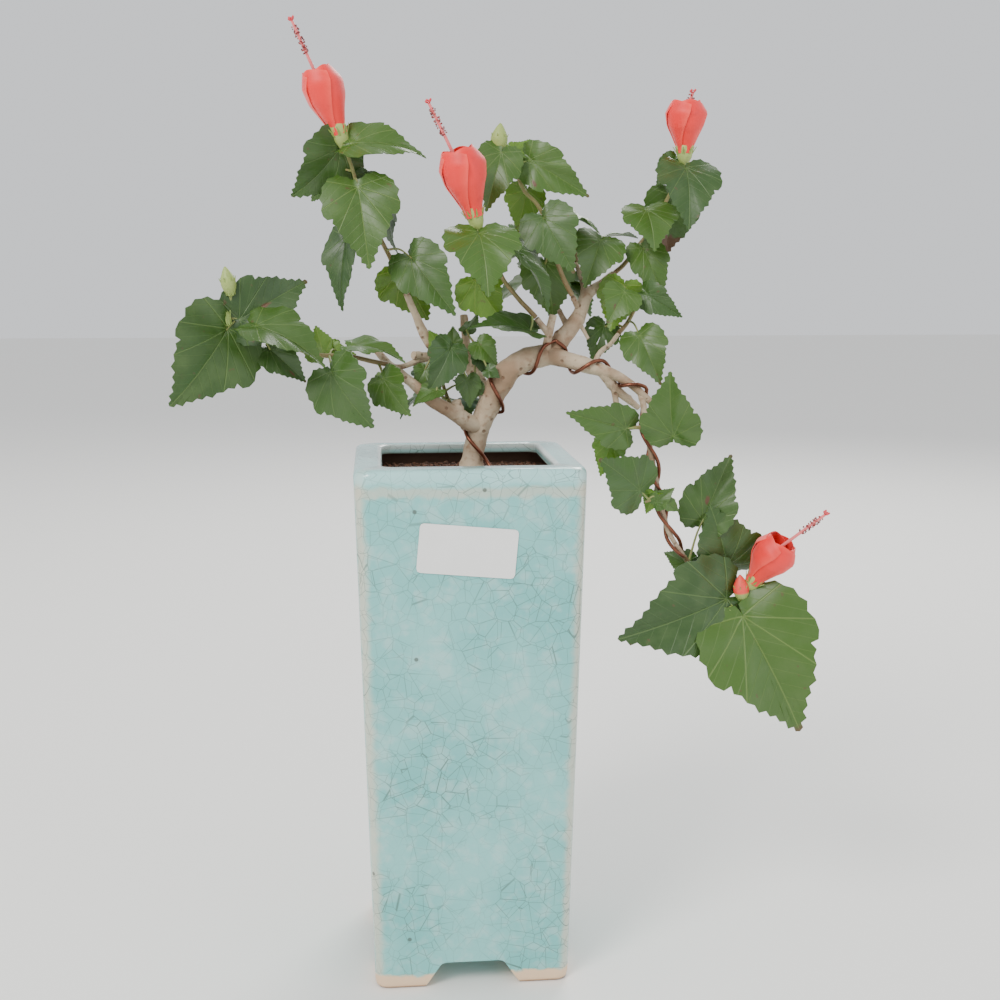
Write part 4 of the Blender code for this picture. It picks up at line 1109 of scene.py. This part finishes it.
def fine_blade(hub, along, face, roll, length, wide, rng, look_rng, holes=(), burnt=False):
    """A toothed, lobed and rippled leaf of the same reach as the plain one."""
    side, normal = leaf_sides(along, face, roll)
    bow = rng.uniform(*LEAF_BOW)
    fold = rng.uniform(*LEAF_FOLD)
    thick = max(LEAF_SHEET, length * LEAF_SHEET_RATIO)
    phase = look_rng.uniform(0, 6)
    waves = look_rng.choice((5, 6, 7))
    sick = look_rng.random() < SICK_SHARE
    sore = Vector((look_rng.uniform(-0.4, 0.4), look_rng.uniform(0.1, 0.95)))
    tone = look_rng.uniform(0.1, 0.9)
    lit = BACKLIT if abs(roll) > 120 else look_rng.uniform(0.0, 0.28)
    cx, cy = LEAF_CENTRE
    edge = fine_edge()
    count = len(edge)
    flat = [(cx, cy)]
    for share in LEAF_RINGS:
        flat += [(cx + (x - cx) * share, cy + (y - cy) * share) for x, y in edge]
    spots, marks = [], []
    for n, (x, y) in enumerate(flat):
        far = 0.0 if n == 0 else LEAF_RINGS[(n - 1) // count]
        ripple = RIPPLE * far * far * math.sin(waves * math.atan2(x, y - cy) + phase)
        rise = leaf_rise(x, y, fold, bow) + ripple
        spots.append(hub + (side * (x * wide) + along * y + normal * rise) * length)
        brown = max(0.0, 1.0 - (Vector((x, y)) - sore).length / SORE_SIZE) if sick else 0.0
        brown = max(brown, TIP_BROWN if y > TIP_FROM and sick else 0.0)
        if burnt:
            brown = max(brown, min(1.0, (y - BURN_FROM) * 8))
        marks.append((tone, lit, brown))
    faces = []
    for k in range(count):
        faces.append((0, 1 + k, 1 + (k + 1) % count))
        for ring in range(len(LEAF_RINGS) - 1):
            a, b = 1 + ring * count + k, 1 + ring * count + (k + 1) % count
            if (ring, k) not in holes:
                faces.append((a, a + count, b + count, b))
    outer = 1 + (len(LEAF_RINGS) - 1) * count
    loops = [[outer + k for k in range(count)]]
    for ring, k in holes:
        a, b = 1 + ring * count + k, 1 + ring * count + (k + 1) % count
        loops.append([a, b, b + count, a + count])
    step = normal * thick / 2
    solid = between([p + step for p in spots], [p - step for p in spots], faces, loops)
    places = [(0.5 + x, (y + FLAT_DOWN) / FLAT_SPAN) for x, y in flat]
    return solid, marks * 2, places * 2


def fine_stalk(start, hub, along):
    reach = (hub - start).length
    tip = hub + along * STALK_PAST
    lift = UP * (0.12 * reach if reach > LONG_STALK else 0.02 * reach)
    places = (start, start.lerp(hub, 0.55) + lift, tip)
    return tube(smooth([(*place, radius) for place, radius in zip(places, FINE_STALK_RADII)], 6), 7)


def wire_paths():
    axes = [limb_path(name) for name in LIMBS] + [path for name in LIMBS for path in stub_paths(name)]
    room = WIRE_RADIUS + 1.3 * GAP
    bough = limb_path("trunk") + limb_path("cascade_bough")[2:]
    upper = wind(bough, *WIRE_UPPER)
    start = Vector((15 * MM, -11 * MM, SOIL_TOP + GAP + 0.4 * MM))
    upper[:3] = [start, start.lerp(upper[3], 0.35), start.lerp(upper[3], 0.68)]
    shoot = limb_path("hanging_shoot")
    main = upper + wind(shoot, *WIRE_SHOOT)
    paths = []
    for row in (main, wind(shoot, *WIRE_LOWER)):
        row = [clear_point(point, axes, room) for point in row]
        for _ in range(2):
            row = [row[0]] + [(a + 2 * b + c) / 4 for a, b, c in zip(row, row[1:], row[2:])] + [row[-1]]
            row = [row[0]] + [clear_point(point, axes, room) for point in row[1:]]
        axes.append([(point, WIRE_RADIUS) for point in row])
        paths.append(row)
    return paths


def bark_tube(path, sides, seed):
    """A limb with rough, knotted skin."""
    rng = random.Random(seed)
    knots = []
    for _ in range(BARK_KNOTS):
        knots.append((rng.randrange(len(path)), rng.uniform(0, math.tau), rng.uniform(*KNOT_SIZE)))
    rings = []
    for n, ((place, radius), (side, third)) in enumerate(zip(path, frames(path))):
        ring = []
        for k in range(sides):
            turn = math.tau * k / sides
            out = side * math.cos(turn) + third * math.sin(turn)
            spot = place + out * radius
            lift = BARK_COARSE[0] * noise.noise(spot * BARK_COARSE[1])
            lift += BARK_FINE[0] * noise.noise(spot * BARK_FINE[1] + Vector((seed, 0, 0)))
            for row, at, size in knots:
                off = (n - row) * 1.5 * MM / max(radius, 1.5 * MM)
                swing = math.cos(turn - at)
                if swing > KNOT_ARC and abs(off) < KNOT_REACH:
                    lift += size * (swing - KNOT_ARC) * math.exp(-KNOT_FALL * off * off)
            ring.append(place + out * radius * (1 + lift))
        rings.append(ring)
    return stack(rings)


def grow_wood():
    group = new_batch()
    for n, name in enumerate(LIMBS):
        steps, sides = (12, 30) if name in THICK_LIMBS else (8, 18)
        put(group, bark_tube(smooth(limb_knots(name), steps), sides, n + 1))
        for m, path in enumerate(stub_paths(name)):
            rows = [(*place, radius) for place, radius in path]
            put(group, bark_tube(smooth(rows, 5), 12, 40 + n * 7 + m))
    piece("wood", group, bark_look(), list(LIMBS), sharp=70)


def grow_wires():
    look = wire_look()
    for name, row in zip(("training_wire", "lower_wire"), wire_paths()):
        group = new_batch()
        put(group, tube(smooth([(*point, WIRE_RADIUS) for point in row], 3), 12))
        piece(name + "_round", group, look, [name])


def bloom_radius(distance):
    for (d0, r0), (d1, r1) in zip(BLOOM_RINGS, BLOOM_RINGS[1:]):
        if d0 <= distance <= d1:
            return r0 + (r1 - r0) * (distance - d0) / (d1 - d0)
    return BLOOM_RINGS[-1][1]


def around(axis, turn):
    side = axis.orthogonal().normalized()
    return side * math.cos(turn) + axis.cross(side) * math.sin(turn)


def petal(foot, axis, size, wide, start):
    """One petal, rolled round the axis so that its outer edge lies over the next one."""
    grid, marks = [], []
    for i in range(PETAL_ROWS):
        v = i / (PETAL_ROWS - 1)
        line = []
        for j in range(PETAL_COLS):
            u = j / (PETAL_COLS - 1)
            top = BLOOM_MOUTH - PETAL_DIP * abs(2 * u - 1) ** 1.5
            distance = PETAL_FROM + (top - PETAL_FROM) * v
            turn = start + u * PETAL_WRAP + v * PETAL_TWIST
            radius = bloom_radius(distance) * (0.76 + 0.24 * u) * (1.0 - 0.16 * max(0.0, v - 0.82) / 0.18)
            radius *= 1 + 0.035 * math.sin(9 * u + 5 * v)
            line.append(foot + axis * distance * size * MM + around(axis, turn) * radius * wide * MM)
            edge = max(0.0, (u - 0.88) / 0.12) * 0.8 + max(0.0, (v - 0.94) / 0.06) * 0.5
            marks.append((0.25 + 0.75 * v, edge, 0.0))
        grid.append(line)
    return sheet(grid), marks * 2


def ring_of_bracts(group, count, first, foot, axis, length, width, spread, mark):
    """Narrow leaflets round the foot of a bloom or bud."""
    for k in range(count):
        out = around(axis, first + math.tau * k / count)
        across = axis.cross(out)
        grid = []
        for i in range(6):
            v = i / 5
            middle = foot + axis * (0.5 + length * v) * MM + out * (2.2 + spread * v**1.4) * MM
            half = width * (0.5 + 0.6 * v) * (1 - v**3) + 0.12
            grid.append([middle + across * (half * s) * MM for s in (-1, 0, 1)])
        put(group, sheet(grid), mark)


def bent(foot, axis, distance, bend):
    """A point on a bloom's axis, which bends past the start of the column."""
    sway = Vector((axis.z, 0, -axis.x)).normalized()
    past = max(0.0, distance - COLUMN_FROM * MM)
    return foot + axis * distance - sway * past * math.tan(math.radians(bend))


def grow_column(columns, anthers, foot, axis, size, bend, out, tree, look, seed):
    start = COLUMN_FROM * size
    end = BLOOM_MOUTH * size + COLUMN_REACH * out
    shares = [k / COLUMN_STEPS for k in range(COLUMN_STEPS + 1)]
    path = []
    for share in shares:
        place = bent(foot, axis, (start + (end - start) * share) * MM, bend)
        path.append((place, (0.95 - 0.25 * share) * MM))
    put(columns, tube(path, 10), COLUMN_MARK)
    brush = tube([(place, BRUSH_RADIUS) for place, _ in path[-7:-1]], 12)
    put(anthers, scattered(brush, tree, look, ANTHER_DENSITY, ANTHER_RADIUS, seed))
    head = path[-1][0]
    for k in range(STIGMAS):
        tip = head + (around(axis, k * STIGMA_TURN) * STIGMA_SPREAD + axis * (0.8 + 0.5 * (k % 2))) * MM
        knob = [(tip + axis * 0.5 * MM, 0.62 * MM), (tip + axis * 1.1 * MM, 0.2 * MM)]
        put(columns, tube([(head, 0.3 * MM), (tip, 0.3 * MM), *knob], 6), STIGMA_MARK)


def grow_blooms():
    petals, calyxes, columns, anthers = [new_batch() for _ in range(4)]
    tree = scatter_tree("spread balls")
    maroon = anther_look()
    for n, (_, base, bearing, lean, size, wide, bend, out) in enumerate(BLOOMS):
        axis = heading(bearing, lean)
        foot = Vector(base) * MM
        for k in range(PETALS):
            solid, marks = petal(foot, axis, size, wide, n + math.tau * k / PETALS)
            put(petals, solid, marks=marks)
        put(calyxes, lathe(foot, axis, [(d * size * MM, r * MM) for d, r in CUP_RINGS], 18), CUP_MARK)
        count, long, broad, spread = BRACTS
        ring_of_bracts(calyxes, count, n, foot, axis, long * size, broad, spread, BRACT_MARK)
        count, long, broad, spread = TEETH
        rim = foot + axis * TEETH_FROM * size * MM
        first = math.tau * 0.3 / count
        ring_of_bracts(calyxes, count, first, rim, axis, long * size, broad, spread, TEETH_MARK)
        grow_column(columns, anthers, foot, axis, size, bend, out, tree, maroon, 5 + n)
    for n, (_, _, base, bearing, length, radius) in enumerate(BUDS):
        axis = heading(bearing, 5)
        foot = Vector(base) * MM
        rings = smooth([(0, 0, d * length * MM, r * radius * MM) for d, r in BUD_RINGS], 4)
        red = 1.0 if n == RED_BUD else 0.0
        marks = [(0.5, red if k // 14 > 5 else 0.0, 0.0) for k in range(14 * len(rings))]
        put(calyxes, lathe(foot, axis, [(place.z, reach) for place, reach in rings], 14), marks=marks)
        count, long, broad, spread = BUD_BRACTS
        spread *= radius
        ring_of_bracts(calyxes, count, 0.0, foot, axis, length * long, broad, spread, BUD_BRACT_MARK)
    bloomers = sorted({row[0] for row in BLOOMS})
    owners = sorted({*bloomers, *(row[0] for row in BUDS)})
    piece("petals", petals, petal_look(), bloomers, sharp=50)
    piece("calyxes", calyxes, calyx_look(), owners)
    piece("columns", columns, column_look(), bloomers)
    piece("anthers", anthers, maroon, bloomers)
    return tree


def cad_tree(name):
    data = frame["nodes"][name].data
    points = [v.co - MOVE for v in data.vertices]
    return BVHTree.FromPolygons(points, [tuple(p.vertices) for p in data.polygons])


def spray_plan(name):
    """Leaves of a spray: share of the stem, stalk direction and length, then the blade."""
    plan = []
    for share, s_bearing, s_lean, reach, bearing, lean, length, roll, wide in SPRAYS[name][1]:
        out, along = heading(s_bearing, s_lean), heading(bearing, lean)
        plan.append((share, out, reach, along, FRONT, length, roll, wide))
    return plan + list(fill_rows(*FILL[name])) if name in FILL else plan


def grow_leaves(name, path, leaves, twigs, look_rng):
    rng = random.Random(SEED + sum(map(ord, name)))
    for n, (share, out, reach, along, face, length, roll, wide) in enumerate(spray_plan(name)):
        node = point_on(path, share)
        hub = node + out * reach * MM
        shape = (along, face, roll, length * MM, wide)
        leaf_seed = rng.random()
        for nudge in NUDGES:
            place = hub + Vector((0, -nudge * MM, 0))
            plain = blade(place, *shape, random.Random(leaf_seed))
            if is_clear(plain) and is_clear(stalk(node, place, along)):
                marred = HOLES.get((name, n), ()), (name, n) == BURNT
                leaf_rng = random.Random(leaf_seed)
                solid, marks, flat = fine_blade(place, *shape, leaf_rng, look_rng, *marred)
                put(leaves, solid, marks=marks, flat=flat)
                put(twigs, fine_stalk(node, place, along), (look_rng.uniform(0.75, 1.0), 0.0, 0.0))
                break


def grow_sprays():
    leaves, twigs = new_batch(), new_batch()
    look_rng = random.Random(4)
    low, high = STEM_RADIUS
    TAKEN.extend(cad_tree(name) for name in ["pot", "soil", *LIMBS, "training_wire", "lower_wire"])
    for name, (stem, _) in SPRAYS.items():
        last = len(stem) - 1
        knots = [(x * MM, y * MM, z * MM, low + (high - low) * n / last) for n, (x, y, z) in enumerate(stem)]
        path = smooth(knots, 1)
        tip = path[-1][0]
        fine = smooth(knots, 6)
        ages = [STEM_AGE + STEM_GREENER * k / len(fine) for k in range(len(fine)) for _ in range(STEM_SIDES)]
        put(twigs, tube(fine, STEM_SIDES), marks=[(age, 0.0, 0.0) for age in ages])
        grow_leaves(name, path, leaves, twigs, look_rng)
        for owner, base, bearing, lean, *_ in BLOOMS:
            foot = Vector(base) * MM
            if owner == name and (foot - tip).length > 1.0 * MM:
                ends = [(tip, 0.9 * MM), (foot + heading(bearing, lean) * 1.5 * MM, 1.1 * MM)]
                put(twigs, tube(ends, 8), YOUNG_MARK)
        for owner, start, base, bearing, *_ in BUDS:
            if owner == name:
                end = Vector(base) * MM + heading(bearing, 5) * 1.5 * MM
                put(twigs, tube([(Vector(start) * MM, 0.8 * MM), (end, 0.9 * MM)], 8), YOUNG_MARK)
        TAKEN.append(cad_tree(name))
    piece("leaves", leaves, leaf_look(), list(SPRAYS), sharp=50)
    piece("twigs", twigs, twig_look(), list(SPRAYS))


def soil_height(x, y):
    mound = max(0.0, 1.0 - math.hypot(x, y) / MOUND_REACH)
    return SOIL_LEVEL + SOIL_MOUND * mound + SOIL_ROUGH * noise.noise(Vector((x * 0.12, y * 0.12, 3.0)))


def grow_soil(tree):
    group = new_batch()
    look = soil_look()
    rows = [-SOIL_HALF + 2 * SOIL_HALF * k / (SOIL_POINTS - 1) for k in range(SOIL_POINTS)]
    top = [Vector((x, y, soil_height(x, y))) * MM for y in rows for x in rows]
    foot = [Vector((v.x * 0.99, v.y * 0.99, SOIL_FOOT)) for v in top]
    faces, loop = grid_faces(SOIL_POINTS, SOIL_POINTS)
    put(group, between(top, foot, faces, [loop]))
    seen = [Vector((v.x * SOIL_SEEN, v.y * SOIL_SEEN, v.z)) for v in top]
    for density, radius, seed in GRAINS:
        put(group, scattered((seen, faces), tree, look, density, radius, seed))
    piece("soil_grains", group, look, ["soil"], sharp=80)


def square_stack(rings):
    return stack([square_ring(z * MM, half * MM, corner * MM) for z, half, corner in rings])


def shape_pot():
    """The pot with round corners and a rolled rim."""
    pot = add_object("pot_glazed", square_stack(POT_RINGS))
    right = [(a * MM, z * MM) for a, z in NOTCH_HALF]
    notch = right + [(-a, z) for a, z in reversed(right)]
    drain_rings = ((0, DRAIN_RADIUS), (DRAIN_LENGTH, DRAIN_RADIUS))
    drain = lathe(Vector((0, 0, DRAIN_LOW)), UP, drain_rings, DRAIN_SIDES)
    holes = [square_stack(CAVITY_RINGS), square_stack(OPENING_RINGS)]
    holes += [prism(notch, NOTCH_REACH, "X"), prism(notch, NOTCH_REACH, "Y"), drain]
    carve(pot, holes)
    pot.data.transform(Matrix.Translation(MOVE))
    soften(pot.data, 38)
    finish_piece(pot, glaze_look(), ["pot"])


def dress_label():
    label = frame["nodes"]["label"]
    label.data.materials.clear()
    label.data.materials.append(paper_look())


def link_in(name, data, place, aim):
    """A lamp or camera at a place, looking along a direction."""
    obj = bpy.data.objects.new(name, data)
    obj.location = place
    obj.rotation_mode = "QUATERNION"
    obj.rotation_quaternion = aim.to_track_quat("-Z", "Y")
    bpy.context.scene.collection.objects.link(obj)
    return obj


def set_stage():
    corners = [(x, y, 0) for x, y in ((-1, -1), (1, -1), (1, 1), (-1, 1))]
    floor = plain_object("floor", ([Vector(corner) * FLOOR_REACH for corner in corners], [(0, 1, 2, 3)]))
    look = Look("pale floor", FLOOR_ROUGH)
    look.shader.inputs["Base Color"].default_value = FLOOR_COLOUR
    floor.data.materials.append(look.material)
    world = bpy.data.worlds.new("studio")
    bpy.context.scene.world = world
    world.use_nodes = True
    sky = world.node_tree.nodes["Background"]
    sky.inputs[0].default_value = SKY_COLOUR
    sky.inputs[1].default_value = SKY_POWER
    for name, place, aim, width, power, colour in LIGHTS:
        data = bpy.data.lights.new(name, "AREA")
        data.shape = "DISK"
        data.size = width
        data.energy = power
        data.color = colour
        link_in(name, data, place, Vector(aim) - Vector(place))


def set_camera():
    data = bpy.data.cameras.new("camera")
    data.angle = CAMERA_ANGLE
    data.clip_start = 0.01
    bpy.context.scene.camera = link_in("camera", data, MOVE + CAMERA_PLACE, CAMERA_AIM)


grow_wood()
grow_wires()
grow_sprays()
grow_soil(grow_blooms())
shape_pot()
dress_label()
set_stage()
set_camera()
